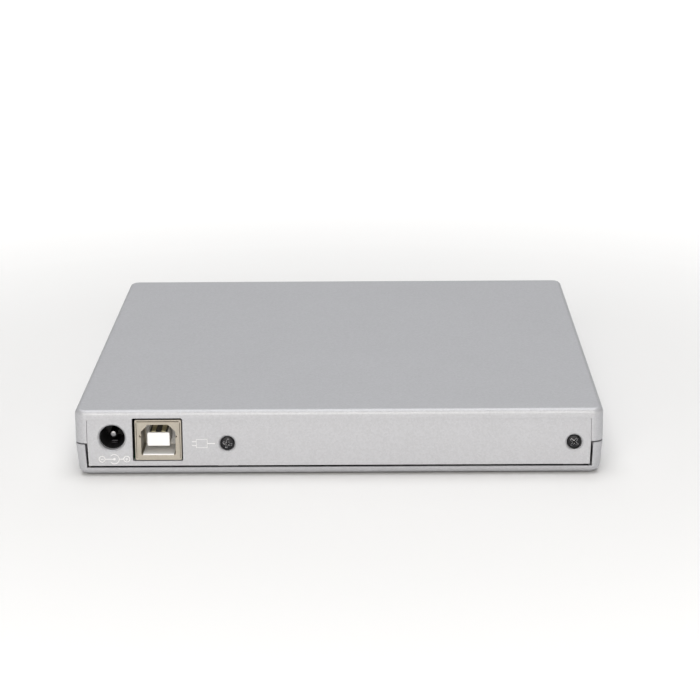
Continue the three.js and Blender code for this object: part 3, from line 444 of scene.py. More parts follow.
class NodeBoard:
    """A node tree with short ways to add and join its nodes."""

    def __init__(self, tree: bpy.types.NodeTree) -> None:
        """Takes the tree to work on."""
        self.tree = tree

    def add(self, kind: str, **settings: object) -> bpy.types.Node:
        """Adds a node.

        Args:
            kind: its type, such as "ShaderNodeTexNoise".
            settings: its properties.

        Returns:
            The node.
        """
        made = self.tree.nodes.new(kind)
        for name, value in settings.items():
            setattr(made, name, value)
        return made

    def join(self, output: bpy.types.NodeSocket, target: bpy.types.NodeSocket) -> None:
        """Links an output to an input."""
        self.tree.links.new(output, target)

    def sum(
        self, operation: str, a: bpy.types.NodeSocket | float, b: bpy.types.NodeSocket | float
    ) -> bpy.types.NodeSocket:
        """Works out one number from two.

        Args:
            operation: such as "MULTIPLY".
            a: the first number, or its socket.
            b: the second.

        Returns:
            The socket of the result.
        """
        node = self.add("ShaderNodeMath", operation=operation)
        for place, value in zip(node.inputs, (a, b)):
            if isinstance(value, (int, float)):
                place.default_value = value
            else:
                self.join(value, place)
        return node.outputs[0]

    def texture(
        self, kind: str, given: bpy.types.Node, squash: Point = (1, 1, 1), **settings: object
    ) -> bpy.types.Node:
        """Adds a texture on object coordinates, at the group's own scale.

        Args:
            kind: its type, such as "ShaderNodeTexNoise".
            given: the group's input node, which has a Scale.
            squash: how its coordinates are scaled before it.
            settings: its properties.

        Returns:
            The texture's node.
        """
        place = self.add("ShaderNodeTexCoord").outputs["Object"]
        if squash != (1, 1, 1):
            mapping = self.add("ShaderNodeMapping")
            mapping.inputs["Scale"].default_value = squash
            self.join(place, mapping.inputs["Vector"])
            place = mapping.outputs[0]
        made = self.add(kind, **settings)
        self.join(place, made.inputs["Vector"])
        self.join(given.outputs["Scale"], made.inputs["Scale"])
        return made

    def swing(
        self, value: bpy.types.NodeSocket, amount: bpy.types.NodeSocket
    ) -> bpy.types.NodeSocket:
        """A value from 0 to 1 turned into a swing about 0, times an amount."""
        return self.sum("MULTIPLY", self.sum("SUBTRACT", value, 0.5), amount)

    def shade(
        self, colour: bpy.types.NodeSocket, swing: bpy.types.NodeSocket
    ) -> bpy.types.NodeSocket:
        """A colour made lighter or darker by a swing about 0."""
        tint = self.add("ShaderNodeVectorMath", operation="SCALE")
        self.join(colour, tint.inputs[0])
        self.join(self.sum("ADD", swing, 1.0), tint.inputs["Scale"])
        return tint.outputs[0]


def effect_group(
    name: str,
    inputs: Sequence[tuple[str, str, object]],
    outputs: Sequence[tuple[str, str]],
    fill: Callable[[NodeBoard, bpy.types.Node, bpy.types.Node], None],
) -> bpy.types.NodeTree:
    """Makes a shader node group.

    Args:
        name: its name.
        inputs: the name, kind and default of each input.
        outputs: the name and kind of each output.
        fill: adds its nodes, given the board, its input node and its output node.

    Returns:
        The group.
    """
    tree = bpy.data.node_groups.new(name, "ShaderNodeTree")
    for label, kind, default in inputs:
        socket = tree.interface.new_socket(label, in_out="INPUT", socket_type=kind)
        socket.default_value = default
    for label, kind in outputs:
        tree.interface.new_socket(label, in_out="OUTPUT", socket_type=kind)
    board = NodeBoard(tree)
    fill(board, board.add("NodeGroupInput"), board.add("NodeGroupOutput"))
    return tree


FLOAT, COLOUR, VECTOR = "NodeSocketFloat", "NodeSocketColor", "NodeSocketVector"


def fill_mottle(board: NodeBoard, given: bpy.types.Node, result: bpy.types.Node) -> None:
    """Fills the group that varies a colour and a roughness over the surface.

    Args:
        board: the group's board.
        given: its input node.
        result: its output node.
    """
    broad = board.texture("ShaderNodeTexNoise", given, noise_dimensions="3D")
    broad.inputs["Detail"].default_value = 5
    swing = board.swing(broad.outputs["Fac"], given.outputs["Amount"])
    board.join(board.shade(given.outputs["Colour"], swing), result.inputs["Colour"])
    rough = board.sum("ADD", given.outputs["Roughness"], board.sum("MULTIPLY", swing, 0.6))
    board.join(rough, result.inputs["Roughness"])


def fill_grain(board: NodeBoard, given: bpy.types.Node, result: bpy.types.Node) -> None:
    """Fills the group that gives the height of a fine moulded or painted grain.

    Args:
        board: the group's board.
        given: its input node.
        result: its output node.
    """
    fine = board.texture("ShaderNodeTexNoise", given, noise_dimensions="3D")
    fine.inputs["Detail"].default_value = 3
    fine.inputs["Roughness"].default_value = 0.65
    board.join(board.sum("MULTIPLY", fine.outputs["Fac"], given.outputs["Depth"]), result.inputs[0])


def fill_flake(board: NodeBoard, given: bpy.types.Node, result: bpy.types.Node) -> None:
    """Fills the group of metallic paint: flakes that differ in lightness and lie at small angles.

    Args:
        board: the group's board.
        given: its input node.
        result: its output node.
    """
    cells = board.texture("ShaderNodeTexVoronoi", given, feature="F1")
    parts = board.add("ShaderNodeSeparateColor")
    board.join(cells.outputs["Color"], parts.inputs[0])
    swing = board.swing(parts.outputs[0], given.outputs["Contrast"])
    board.join(board.shade(given.outputs["Colour"], swing), result.inputs["Colour"])
    board.join(parts.outputs[1], result.inputs["Height"])


def fill_brushing(board: NodeBoard, given: bpy.types.Node, result: bpy.types.Node) -> None:
    """Fills the group of drawn sheet metal: fine lines along Y in colour and height.

    Args:
        board: the group's board.
        given: its input node.
        result: its output node.
    """
    lines = board.texture("ShaderNodeTexNoise", given, (1, 0.03, 1), noise_dimensions="3D")
    lines.inputs["Detail"].default_value = 4
    swing = board.swing(lines.outputs["Fac"], given.outputs["Amount"])
    board.join(board.shade(given.outputs["Colour"], swing), result.inputs["Colour"])
    board.join(lines.outputs["Fac"], result.inputs["Height"])


class Effects:
    """The shader node groups that the finishes share."""

    def __init__(self) -> None:
        """Builds each group once."""
        self.mottle = effect_group(
            "mottle",
            [
                ("Colour", COLOUR, (0.5, 0.5, 0.5, 1)),
                ("Roughness", FLOAT, 0.5),
                ("Scale", FLOAT, 100.0),
                ("Amount", FLOAT, 0.1),
            ],
            [("Colour", COLOUR), ("Roughness", FLOAT)],
            fill_mottle,
        )
        self.grain = effect_group(
            "fine grain",
            [("Scale", FLOAT, 1000.0), ("Depth", FLOAT, 1.0)],
            [("Height", FLOAT)],
            fill_grain,
        )
        self.flake = effect_group(
            "paint flake",
            [
                ("Colour", COLOUR, (0.5, 0.5, 0.5, 1)),
                ("Scale", FLOAT, 2000.0),
                ("Contrast", FLOAT, 0.3),
            ],
            [("Colour", COLOUR), ("Height", FLOAT)],
            fill_flake,
        )
        self.brushing = effect_group(
            "drawn metal",
            [
                ("Colour", COLOUR, (0.5, 0.5, 0.5, 1)),
                ("Scale", FLOAT, 4000.0),
                ("Amount", FLOAT, 0.2),
            ],
            [("Colour", COLOUR), ("Height", FLOAT)],
            fill_brushing,
        )


# ------------------------------------------------------------------ finishes

Rgb = tuple[float, float, float]


def bump(
    board: NodeBoard,
    shader: bpy.types.Node,
    height: bpy.types.NodeSocket,
    strength: float,
    distance: float,
) -> None:
    """Joins a height to a shader's normal.

    Args:
        board: the material's board.
        shader: its shader.
        height: the socket that gives the height.
        strength: how strongly it shows.
        distance: the height of a step from 0 to 1, in metres.
    """
    relief = board.add("ShaderNodeBump")
    relief.inputs["Strength"].default_value = strength
    relief.inputs["Distance"].default_value = distance
    board.join(height, relief.inputs["Height"])
    board.join(relief.outputs[0], shader.inputs["Normal"])


def place_group(
    board: NodeBoard, tree: bpy.types.NodeTree, **values: object
) -> bpy.types.Node:
    """Adds a group node and sets its inputs.

    Args:
        board: the material's board.
        tree: the group.
        values: its inputs by name.

    Returns:
        The group node.
    """
    node = board.add("ShaderNodeGroup")
    node.node_tree = tree
    for name, value in values.items():
        node.inputs[name].default_value = value
    return node


@dataclass(frozen=True)
class Finish:
    """A finish: its colour and gloss, and how they vary over the surface."""

    name: str
    colour: Rgb
    roughness: float = 0.5
    metallic: float = 0.0

    def start(
        self, effects: Effects, scale: float, amount: float
    ) -> tuple[bpy.types.Material, NodeBoard, bpy.types.Node, bpy.types.NodeSocket]:
        """Starts a material, with the mottle that every finish has.

        Args:
            effects: the shared node groups.
            scale: the scale of the mottle.
            amount: how much it varies the colour.

        Returns:
            The material, its board, its shader and the socket of its colour.
        """
        material = bpy.data.materials.new(self.name)
        material.use_nodes = True
        board = NodeBoard(material.node_tree)
        shader = material.node_tree.nodes["Principled BSDF"]
        shader.inputs["Roughness"].default_value = self.roughness
        shader.inputs["Metallic"].default_value = self.metallic
        base = place_group(
            board,
            effects.mottle,
            Colour=(*self.colour, 1),
            Roughness=self.roughness,
            Scale=scale,
            Amount=amount,
        )
        board.join(base.outputs["Roughness"], shader.inputs["Roughness"])
        return material, board, shader, base.outputs["Colour"]

    def build(self, effects: Effects) -> bpy.types.Material:
        """Makes the material.

        Args:
            effects: the shared node groups.

        Returns:
            The material.
        """
        raise NotImplementedError


@dataclass(frozen=True)
class MetallicPaint(Finish):
    """Silver paint with a fine flake under a thin clear coat."""

    flake_scale: float = 2600.0
    contrast: float = 0.10
    relief: float = 0.16
    coat: float = 0.15

    def build(self, effects: Effects) -> bpy.types.Material:
        """Makes the material.

        Args:
            effects: the shared node groups.

        Returns:
            The material.
        """
        material, board, shader, colour = self.start(effects, 60.0, 0.05)
        flake = place_group(
            board, effects.flake, Scale=self.flake_scale, Contrast=self.contrast
        )
        board.join(colour, flake.inputs["Colour"])
        board.join(flake.outputs["Colour"], shader.inputs["Base Color"])
        bump(board, shader, flake.outputs["Height"], self.relief, 0.02 * MM)
        shader.inputs["Coat Weight"].default_value = self.coat
        shader.inputs["Coat Roughness"].default_value = 0.25
        return material


@dataclass(frozen=True)
class Moulded(Finish):
    """Moulded plastic or rubber with a fine grain and a little mottle."""

    grain_scale: float = 5000.0
    relief: float = 0.3

    def build(self, effects: Effects) -> bpy.types.Material:
        """Makes the material.

        Args:
            effects: the shared node groups.

        Returns:
            The material.
        """
        material, board, shader, colour = self.start(effects, 250.0, 0.16)
        board.join(colour, shader.inputs["Base Color"])
        grain = place_group(board, effects.grain, Scale=self.grain_scale, Depth=1.0)
        bump(board, shader, grain.outputs["Height"], self.relief, 0.02 * MM)
        return material


@dataclass(frozen=True)
class SheetMetal(Finish):
    """Drawn or plated metal with fine lines and a faint cloud."""

    line_scale: float = 3000.0
    amount: float = 0.25
    relief: float = 0.15

    def build(self, effects: Effects) -> bpy.types.Material:
        """Makes the material.

        Args:
            effects: the shared node groups.

        Returns:
            The material.
        """
        material, board, shader, colour = self.start(effects, 180.0, 0.2)
        lines = place_group(
            board, effects.brushing, Scale=self.line_scale, Amount=self.amount
        )
        board.join(colour, lines.inputs["Colour"])
        board.join(lines.outputs["Colour"], shader.inputs["Base Color"])
        bump(board, shader, lines.outputs["Height"], self.relief, 0.01 * MM)
        return material


@dataclass(frozen=True)
class Lens(Finish):
    """Clear plastic or coated glass."""

    def build(self, effects: Effects) -> bpy.types.Material:
        """Makes the material.

        Args:
            effects: the shared node groups.

        Returns:
            The material.
        """
        material, board, shader, colour = self.start(effects, 200.0, 0.05)
        board.join(colour, shader.inputs["Base Color"])
        shader.inputs["Transmission Weight"].default_value = 0.6
        shader.inputs["IOR"].default_value = 1.5
        return material


class Slot(Enum):
    """The finishes of the object, named as the record's material slots."""

    CASE_SHELL = "case_shell"
    FOOT = "foot"
    BLACK_SCREW = "black_screw"
    STEEL = "steel"
    NICKEL = "nickel"
    GOLD = "gold"
    COPPER = "copper"
    BLACK_PLASTIC = "black_plastic"
    GREY_PLASTIC = "grey_plastic"
    WHITE_PLASTIC = "white_plastic"
    CIRCUIT_BOARD = "circuit_board"
    RIBBON = "ribbon"
    CLEAR_PLASTIC = "clear_plastic"
    LENS = "lens"


FINISHES: dict[Slot, Finish] = {
    Slot.CASE_SHELL: MetallicPaint("silver paint", (0.490, 0.496, 0.520), 0.50, 0.35),
    Slot.FOOT: Moulded("foot rubber", (0.020, 0.020, 0.021), 0.85, relief=0.6),
    Slot.BLACK_SCREW: SheetMetal("black oxide steel", (0.022, 0.022, 0.024), 0.38, 0.8),
    Slot.STEEL: SheetMetal("zinc-plated steel", (0.56, 0.57, 0.58), 0.34, 1.0),
    Slot.NICKEL: SheetMetal("nickel plate", (0.44, 0.405, 0.345), 0.34, 0.9),
    Slot.GOLD: SheetMetal("gold plate", (0.52, 0.48, 0.30), 0.30, 1.0),
    Slot.COPPER: SheetMetal("enamelled copper", (0.50, 0.20, 0.07), 0.35, 0.9),
    Slot.BLACK_PLASTIC: Moulded("black moulding", (0.016, 0.016, 0.018), 0.48),
    Slot.GREY_PLASTIC: Moulded("grey moulding", (0.045, 0.047, 0.050), 0.45),
    Slot.WHITE_PLASTIC: Moulded("white moulding", (0.90, 0.90, 0.90), 0.38, relief=0.12),
    Slot.CIRCUIT_BOARD: Moulded("solder resist", (0.010, 0.085, 0.035), 0.35),
    Slot.RIBBON: Moulded("ribbon film", (0.42, 0.23, 0.06), 0.35, relief=0.1),
    Slot.CLEAR_PLASTIC: Lens("clear acrylic", (0.86, 0.90, 0.92), 0.08),
    Slot.LENS: Lens("coated lens", (0.20, 0.16, 0.55), 0.03),
}


# painted highlight: the raised marks are coloured lighter than the panel's paint, standing in for
# the highlights along them
MARK_HIGHLIGHT = Moulded("raised mark painted highlight", (0.78, 0.78, 0.79), 0.4, relief=0.05)
WORN_EDGE = SheetMetal("worn black steel", (0.55, 0.55, 0.57), 0.25, 1.0)
# painted shade: the power pin's metal darkened for its place deep in the bore
PIN_SHADE_TIN = SheetMetal("tin darkened as painted shade", (0.26, 0.26, 0.27), 0.22, 1.0)
# painted shade: the power spring's metal coloured near black for its place in the bore
SPRING_SHADE_STEEL = SheetMetal("spring steel darkened as painted shade", (0.05, 0.05, 0.055), 0.4, 1.0)


class Paintshop:
    """Builds each finish once and puts it on pieces."""

    def __init__(self) -> None:
        """Builds the shared effects and every finish."""
        self.effects = Effects()
        self.materials = {slot: finish.build(self.effects) for slot, finish in FINISHES.items()}
        self.variants: dict[Finish, bpy.types.Material] = {}

    def variant(self, finish: Finish) -> bpy.types.Material:
        """A finish outside the slots, built when it is first asked for."""
        if finish not in self.variants:
            self.variants[finish] = finish.build(self.effects)
        return self.variants[finish]

    def tint(self, piece: bpy.types.Object, finish: Finish) -> None:
        """Puts a finish of its own on a piece, in place of its slot's finish.

        Args:
            piece: the piece.
            finish: the finish.
        """
        piece.data.materials.clear()
        piece.data.materials.append(self.variant(finish))

    def paint(self, piece: bpy.types.Object, slot: Slot) -> None:
        """Puts a finish on a piece, in place of what it had.

        Args:
            piece: the piece.
            slot: the finish.
        """
        piece.data.materials.clear()
        piece.data.materials.append(self.materials[slot])

    def dress_nodes(self) -> None:
        """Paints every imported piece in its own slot's finish."""
        slots = {part["node"]: part["material_slot"] for part in frame["record"]["subparts"]}
        for name, piece in frame["nodes"].items():
            self.paint(piece, Slot(slots[name]))
            smooth(piece)


# ------------------------------------------------------------------ studio


@dataclass(frozen=True)
class Lamp:
    """A soft light that faces the object: a sun if its spread is given, else a square panel."""

    name: str
    at: Point
    power: float
    colour: Rgb = (1.0, 1.0, 1.0)
    spread: float = 0.0
    size: float = 0.0

    def hang(self) -> None:
        """Adds the light to the scene."""
        if self.spread:
            data = bpy.data.lights.new(self.name, "SUN")
            data.angle = math.radians(self.spread)
        else:
            data = bpy.data.lights.new(self.name, "AREA")
            data.size = self.size
        data.energy = self.power
        data.color = self.colour
        lamp = bpy.data.objects.new(self.name, data)
        aim = (Vector((0, 0, 0)) - Vector(self.at)).to_track_quat("-Z", "Y")
        lamp.matrix_world = Matrix.Translation(self.at) @ aim.to_matrix().to_4x4()
        bpy.context.scene.collection.objects.link(lamp)


LAMPS = (
    Lamp("overhead", (0.0, 0.0, 1.0), 1.77, spread=55.0),
    Lamp("behind", (0.0, -1.0, 1.0), 0.42, spread=50.0),
    Lamp("front", (0.1, 1.7, 0.5), 26.5, (1.0, 0.955, 0.895), size=1.6),
)


@dataclass
class Studio:
    """A white table, soft light and the camera behind the object."""

    eye: Point = (-0.0100, 0.6440, 0.1842)
    yaw: float = 0.695
    pitch: float = 14.77
    roll: float = -0.468
    field_of_view: float = 17.21
    table_size: float = 6.0
    room: float = 0.17
    # the table's painted glow: its strength, and the distances from the object where it starts and
    # where it is full
    painted_glow: float = 0.42
    painted_glow_start: float = 0.06
    painted_glow_full: float = 0.48

    def camera(self) -> None:
        """Adds the camera; yaw turns from straight along -Y towards +X, pitch looks down."""
        yaw, pitch, roll = (math.radians(a) for a in (self.yaw, self.pitch, self.roll))
        level = Vector((math.sin(yaw), -math.cos(yaw), 0))
        right = Vector((-math.cos(yaw), -math.sin(yaw), 0))
        forward = level * math.cos(pitch) - Vector((0, 0, 1)) * math.sin(pitch)
        up = Vector((0, 0, 1)) * math.cos(pitch) + level * math.sin(pitch)
        rolled_right = right * math.cos(roll) + up * math.sin(roll)
        rolled_up = up * math.cos(roll) - right * math.sin(roll)
        view = Matrix((rolled_right, rolled_up, -forward)).transposed().to_4x4()
        data = bpy.data.cameras.new("camera")
        data.sensor_width = 36
        data.lens = 18 / math.tan(math.radians(self.field_of_view) / 2)
        data.clip_start = 0.01
        seen = bpy.data.objects.new("camera", data)
        seen.matrix_world = Matrix.Translation(self.eye) @ view
        bpy.context.scene.collection.objects.link(seen)
        bpy.context.scene.camera = seen

    def table(self) -> None:
        """Adds the white table, with a painted glow in its surface that grows away from the object,
        so the floor near the object stays darker: painted light and shade on the floor.
        """
        half = self.table_size / 2
        sheet = Workpiece.block((-half, half), (-half, half), (-0.02, 0.0)).make("table")
        material = bpy.data.materials.new("white table")
        material.use_nodes = True
        board = NodeBoard(material.node_tree)
        shader = material.node_tree.nodes["Principled BSDF"]
        shader.inputs["Base Color"].default_value = (0.86, 0.86, 0.86, 1)
        shader.inputs["Roughness"].default_value = 0.7
        # painted glow: the table's emission rises with distance from the object, brightening the
        # far floor and leaving the floor near the object darker
        shader.inputs["Emission Color"].default_value = (1, 1, 1, 1)
        place = board.add("ShaderNodeTexCoord")
        away = board.add("ShaderNodeVectorMath", operation="LENGTH")
        board.join(place.outputs["Object"], away.inputs[0])
        painted_glow = board.add("ShaderNodeMapRange", interpolation_type="SMOOTHSTEP")
        painted_glow.inputs["From Min"].default_value = self.painted_glow_start
        painted_glow.inputs["From Max"].default_value = self.painted_glow_full
        painted_glow.inputs["To Max"].default_value = self.painted_glow
        board.join(away.outputs["Value"], painted_glow.inputs["Value"])
        board.join(painted_glow.outputs["Result"], shader.inputs["Emission Strength"])
        sheet.data.materials.append(material)

    def build(self) -> None:
        """Adds the camera, the table, the lamps and the white room."""
        self.camera()
        self.table()
        for lamp in LAMPS:
            lamp.hang()
        world = bpy.data.worlds.new("room")
        world.use_nodes = True
        backdrop = world.node_tree.nodes["Background"]
        backdrop.inputs["Color"].default_value = (1, 1, 1, 1)
        backdrop.inputs["Strength"].default_value = self.room
        bpy.context.scene.world = world
        bpy.context.scene.view_settings.view_transform = "Standard"
        log.info("studio ready")


# ------------------------------------------------------------------ the object's pieces


def finish_piece(
    shop: Paintshop, piece: bpy.types.Object, body: Body, slot: Slot, *stands_for: str
) -> bpy.types.Object:
    """Paints a new piece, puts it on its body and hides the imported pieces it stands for.

    Args:
        shop: the finishes.
        piece: the new piece.
        body: the body it rides on.
        slot: its finish.
        stands_for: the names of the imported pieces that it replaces.

    Returns:
        The piece.
    """
    shop.paint(piece, slot)
    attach(piece, body.value)
    if stands_for:
        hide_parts(*stands_for)
    log.info("%s: %d faces", piece.name, len(piece.data.polygons))
    return piece


@dataclass
class CaseShells:
    """The painted upper and lower shells."""

    wall: float = 2.2 * MM
    corner: float = 3.0 * MM
    top_fillet: float = 1.3 * MM
    bottom_fillet: float = 1.9 * MM
    draft: float = math.radians(4.5)
    panel_lean: float = math.radians(2.5)
    parting: float = 8.5 * MM
    gap: float = 0.4 * MM
    groove: float = 0.6 * MM
    shrink: float = 0.2 * MM
    recess: float = 0.35 * MM
    broken_edge: float = 0.12 * MM
    seam_width: float = 0.05 * MM
    fillet_steps: int = 10

    def __post_init__(self) -> None:
        """Reads the case's own extents."""
        self.low, self.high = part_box("bottom_cover")[0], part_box("top_cover")[1]
        self.half_x, self.half_y = self.high.x, self.high.y
        self.seam = self.low.z + self.parting
        self.cavity_x = self.half_x - self.wall
        self.cavity_y = self.half_y - self.wall
        self.panel_x = self.cavity_x - 1.0 * MM
        self.panel_y = self.half_y - self.recess
        self.panel_low, self.panel_high = (corner.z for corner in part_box("rear_panel"))
        self.floor = self.panel_low - self.gap
        self.panel_low += self.shrink
        self.ceiling = self.high.z - 1.6 * MM

    def hollow(self, z: Span) -> Workpiece:
        """The inside of the case between two heights."""
        work = Workpiece.block(
            (-self.cavity_x, self.cavity_x), (-self.cavity_y, self.cavity_y), z
        )
        return work.round_edges(upright_edge, 1.0 * MM, 4)

    def front_opening(self, z: Span) -> Workpiece:
        """The opening that the tray leaves by, between two heights."""
        return Workpiece.block(
            (-self.panel_x, self.panel_x), (-self.half_y - MM, -self.cavity_y + MM), z
        )

    def socket_hole(self) -> Workpiece:
        """The opening round the USB socket, which is a little wider above it and to its left."""
        low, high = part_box("usb_shell")
        return Workpiece.block(
            (low.x - 0.35 * MM, high.x + 0.7 * MM),
            (self.cavity_y - MM, self.half_y + MM),
            (low.z - 0.22 * MM, high.z + 0.62 * MM),
        ).round_edges(edge_along_y, 0.5 * MM, 4)

    def round_holes(self) -> list[Workpiece]:
        """The holes of the power inlet and of the two screws."""
        through = (self.cavity_y - MM, self.half_y + MM)
        jack = middle("dc_pin")
        holes = [
            Workpiece.rod(jack, through, 3.35 * MM, Axis.Y, 64),
            Workpiece.rod(
                jack,
                (self.panel_y - 0.4 * MM, self.panel_y + 0.05 * MM),
                (3.35 * MM, 3.8 * MM),
                Axis.Y,
                64,
            ),
        ]
        for name in REAR_SCREWS:
            at = middle(name)
            holes.append(
                Workpiece.rod(at, (self.panel_y - MM, through[1]), 2 * MM, Axis.Y)
            )
            holes.append(
                Workpiece.rod(at, (through[0], self.panel_y), 1.3 * MM, Axis.Y)
            )
            sink = (self.panel_y - 0.35 * MM, self.panel_y + 0.02 * MM)
            holes.append(Workpiece.rod(at, sink, (1.95 * MM, 2.4 * MM), Axis.Y))
        return holes

    def build_top(self) -> bpy.types.Object:
        """The upper shell, open at its back wall where the connector panel hangs.

        Returns:
            The shell.
        """
        bottom = self.seam + self.gap / 2
        blank = Workpiece.block(
            (-self.half_x, self.half_x), (-self.half_y, self.half_y), (bottom, self.high.z)
        )
        blank.round_edges(upright_edge, self.corner, self.fillet_steps)
        blank.round_edges(rim_at(self.high.z), self.top_fillet, self.fillet_steps)
        shell = blank.make("upper_shell")
        rebate = Workpiece.block(
            grown((-self.cavity_x, self.cavity_x), 1.1 * MM),
            grown((-self.cavity_y, self.cavity_y), 0.5 * MM),
            (0, self.seam + 1.5 * MM),
        )
        front = self.front_opening((0, self.ceiling - 0.1 * MM))
        carve(shell, [self.hollow((0, self.ceiling)), rebate, front])
        back = Workpiece.block(
            grown((-self.panel_x, self.panel_x), self.seam_width),
            (self.cavity_y - MM, self.half_y + MM),
            (0, self.panel_high + self.seam_width),
        )
        carve(shell, [back, self.socket_hole()])
        carve(shell, self.ribs(), "UNION")
        soften(shell, self.broken_edge)
        return shell

    def ribs(self) -> list[Workpiece]:
        """The two ribs under the roof, which keep it off the drive's lid."""
        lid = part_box("chassis_lid")[1].z + 0.05 * MM
        middle_y = middle("turntable").y
        return [
            Workpiece.block(
                grown((x, x), 0.6 * MM),
                grown((middle_y, middle_y), 45 * MM),
                (lid, self.ceiling + 0.1 * MM),
            )
            for x in (-40 * MM, 40 * MM)
        ]

    def build_panel(self) -> bpy.types.Object:
        """The connector panel, leaning in at its lower corners with the lower shell's walls.

        Returns:
            The panel.
        """
        lean = (self.seam - self.panel_low) * math.tan(self.panel_lean)
        panel = Workpiece.plate(
            [
                (-self.panel_x, self.panel_high),
                (-self.panel_x, self.seam),
                (-self.panel_x + lean, self.panel_low),
                (self.panel_x - lean, self.panel_low),
                (self.panel_x, self.seam),
                (self.panel_x, self.panel_high),
            ],
            (self.cavity_y, self.panel_y),
            Axis.Y,
        ).make("connector_panel")
        carve(panel, [self.socket_hole(), *self.round_holes()])
        soften(panel, self.broken_edge)
        return panel

    def build_bottom(self) -> bpy.types.Object:
        """The lower shell, with drafted walls and open at the back round the panel.

        Returns:
            The shell.
        """
        top = self.seam - self.gap / 2
        blank = Workpiece.block(
            (-self.half_x, self.half_x), (-self.half_y, self.half_y), (self.low.z, top)
        )
        blank.round_edges(upright_edge, self.corner, self.fillet_steps)
        inset = (top - self.low.z) * math.tan(self.draft)
        foot = [vert for vert in blank.mesh.verts if abs(vert.co.z - self.low.z) < 1e-6]
        bmesh.ops.scale(
            blank.mesh,
            verts=foot,
            vec=(1 - inset / self.half_x, 1 - inset / self.half_y, 1),
        )
        blank.round_edges(rim_at(self.low.z), self.bottom_fillet, self.fillet_steps)
        shell = blank.make("lower_shell")
        lean = (top - self.floor) * math.tan(self.panel_lean)
        open_x = self.panel_x + 1.5 * self.gap
        rear = Workpiece.plate(
            [
                (-open_x + lean, self.floor),
                (open_x - lean, self.floor),
                (open_x, top),
                (open_x, self.high.z),
                (-open_x, self.high.z),
                (-open_x, top),
            ],
            (self.cavity_y - MM, self.half_y + MM),
            Axis.Y,
        )
        groove = Workpiece.block(
            (-open_x + lean, open_x - lean),
            (self.cavity_y - 2 * MM, self.half_y - 1.1 * MM),
            (self.floor - self.groove, self.floor + MM),
        )
        above = (self.floor, self.high.z)
        carve(shell, [self.hollow(above), self.front_opening(above), rear, groove])
        carve(shell, [*self.lips(), *self.posts()], "UNION")
        carve(shell, self.underside())
        soften(shell, self.broken_edge)
        return shell

    def posts(self) -> list[Workpiece]:
        """The posts that the rear screws go into, and the pads under the drive."""
        works = []
        for name in REAR_SCREWS:
            at = middle(name)
            works.append(
                Workpiece.block(
                    grown((at.x, at.x), 2.6 * MM),
                    (self.cavity_y - 4.8 * MM, self.cavity_y - 0.15 * MM),
                    (self.floor - 0.2 * MM, at.z + 2.6 * MM),
                )
            )
        for at in map(middle, DRIVE_SCREWS):
            span = (self.floor - 0.2 * MM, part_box("chassis_pan")[0].z - 0.05 * MM)
            works.append(Workpiece.rod(at, span, 3.4 * MM))
        return works

    def underside(self) -> list[Workpiece]:
        """The round seats of the feet and the holes of all the screws."""
        works = []
        for name in FEET:
            low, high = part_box(name)
            radius = (high.x - low.x) / 2 + 0.15 * MM
            seat = (-MM, high.z + 0.05 * MM)
            works.append(Workpiece.rod(middle(name), seat, radius, sides=64))
        for at in map(middle, DRIVE_SCREWS):
            head = (-MM, self.low.z + 0.85 * MM)
            works.append(Workpiece.rod(at, head, 2.4 * MM))
            works.append(Workpiece.rod(at, (-MM, 4 * MM), 1.3 * MM))
        for name in REAR_SCREWS:
            through = (self.cavity_y - 6 * MM, self.cavity_y + MM)
            works.append(Workpiece.rod(middle(name), through, 1.25 * MM, Axis.Y))
        return works

    def build_gap_shade(self) -> bpy.types.Object:
        """A black strip in the groove under the panel: painted shade that darkens the gap below it.
        """
        gap_shade = Workpiece.block(
            grown((-self.panel_x, self.panel_x), -0.5 * MM),
            (self.cavity_y - 1.9 * MM, self.half_y - 1.15 * MM),
            (self.floor - self.groove + 0.02 * MM, self.floor - 0.12 * MM),
        ).make("panel_gap_shade")
        soften(gap_shade, 0.1 * MM)
        return gap_shade

    def lips(self) -> list[Workpiece]:
        """The lips of the lower shell, which stand inside the upper one and shut the gap."""
        outer, inner = self.cavity_x + 0.9 * MM, self.cavity_x - 0.5 * MM
        reach = self.cavity_y + 0.3 * MM
        return [
            Workpiece.block(
                (min(side * outer, side * inner), max(side * outer, side * inner)),
                (-reach, reach),
                (self.seam - 3 * MM, self.seam + 1.2 * MM),
            )
            for side in (-1, 1)
        ]

    def build(self, shop: Paintshop) -> None:
        """Builds both shells and dresses them.

        Args:
            shop: the finishes.
        """
        finish_piece(shop, self.build_top(), Body.CASE, Slot.CASE_SHELL, "top_cover")
        finish_piece(shop, self.build_panel(), Body.CASE, Slot.CASE_SHELL, "rear_panel")
        finish_piece(shop, self.build_bottom(), Body.CASE, Slot.CASE_SHELL, "bottom_cover")
        # the black strip in the groove is painted shade for the gap under the panel
        finish_piece(shop, self.build_gap_shade(), Body.CASE, Slot.FOOT)


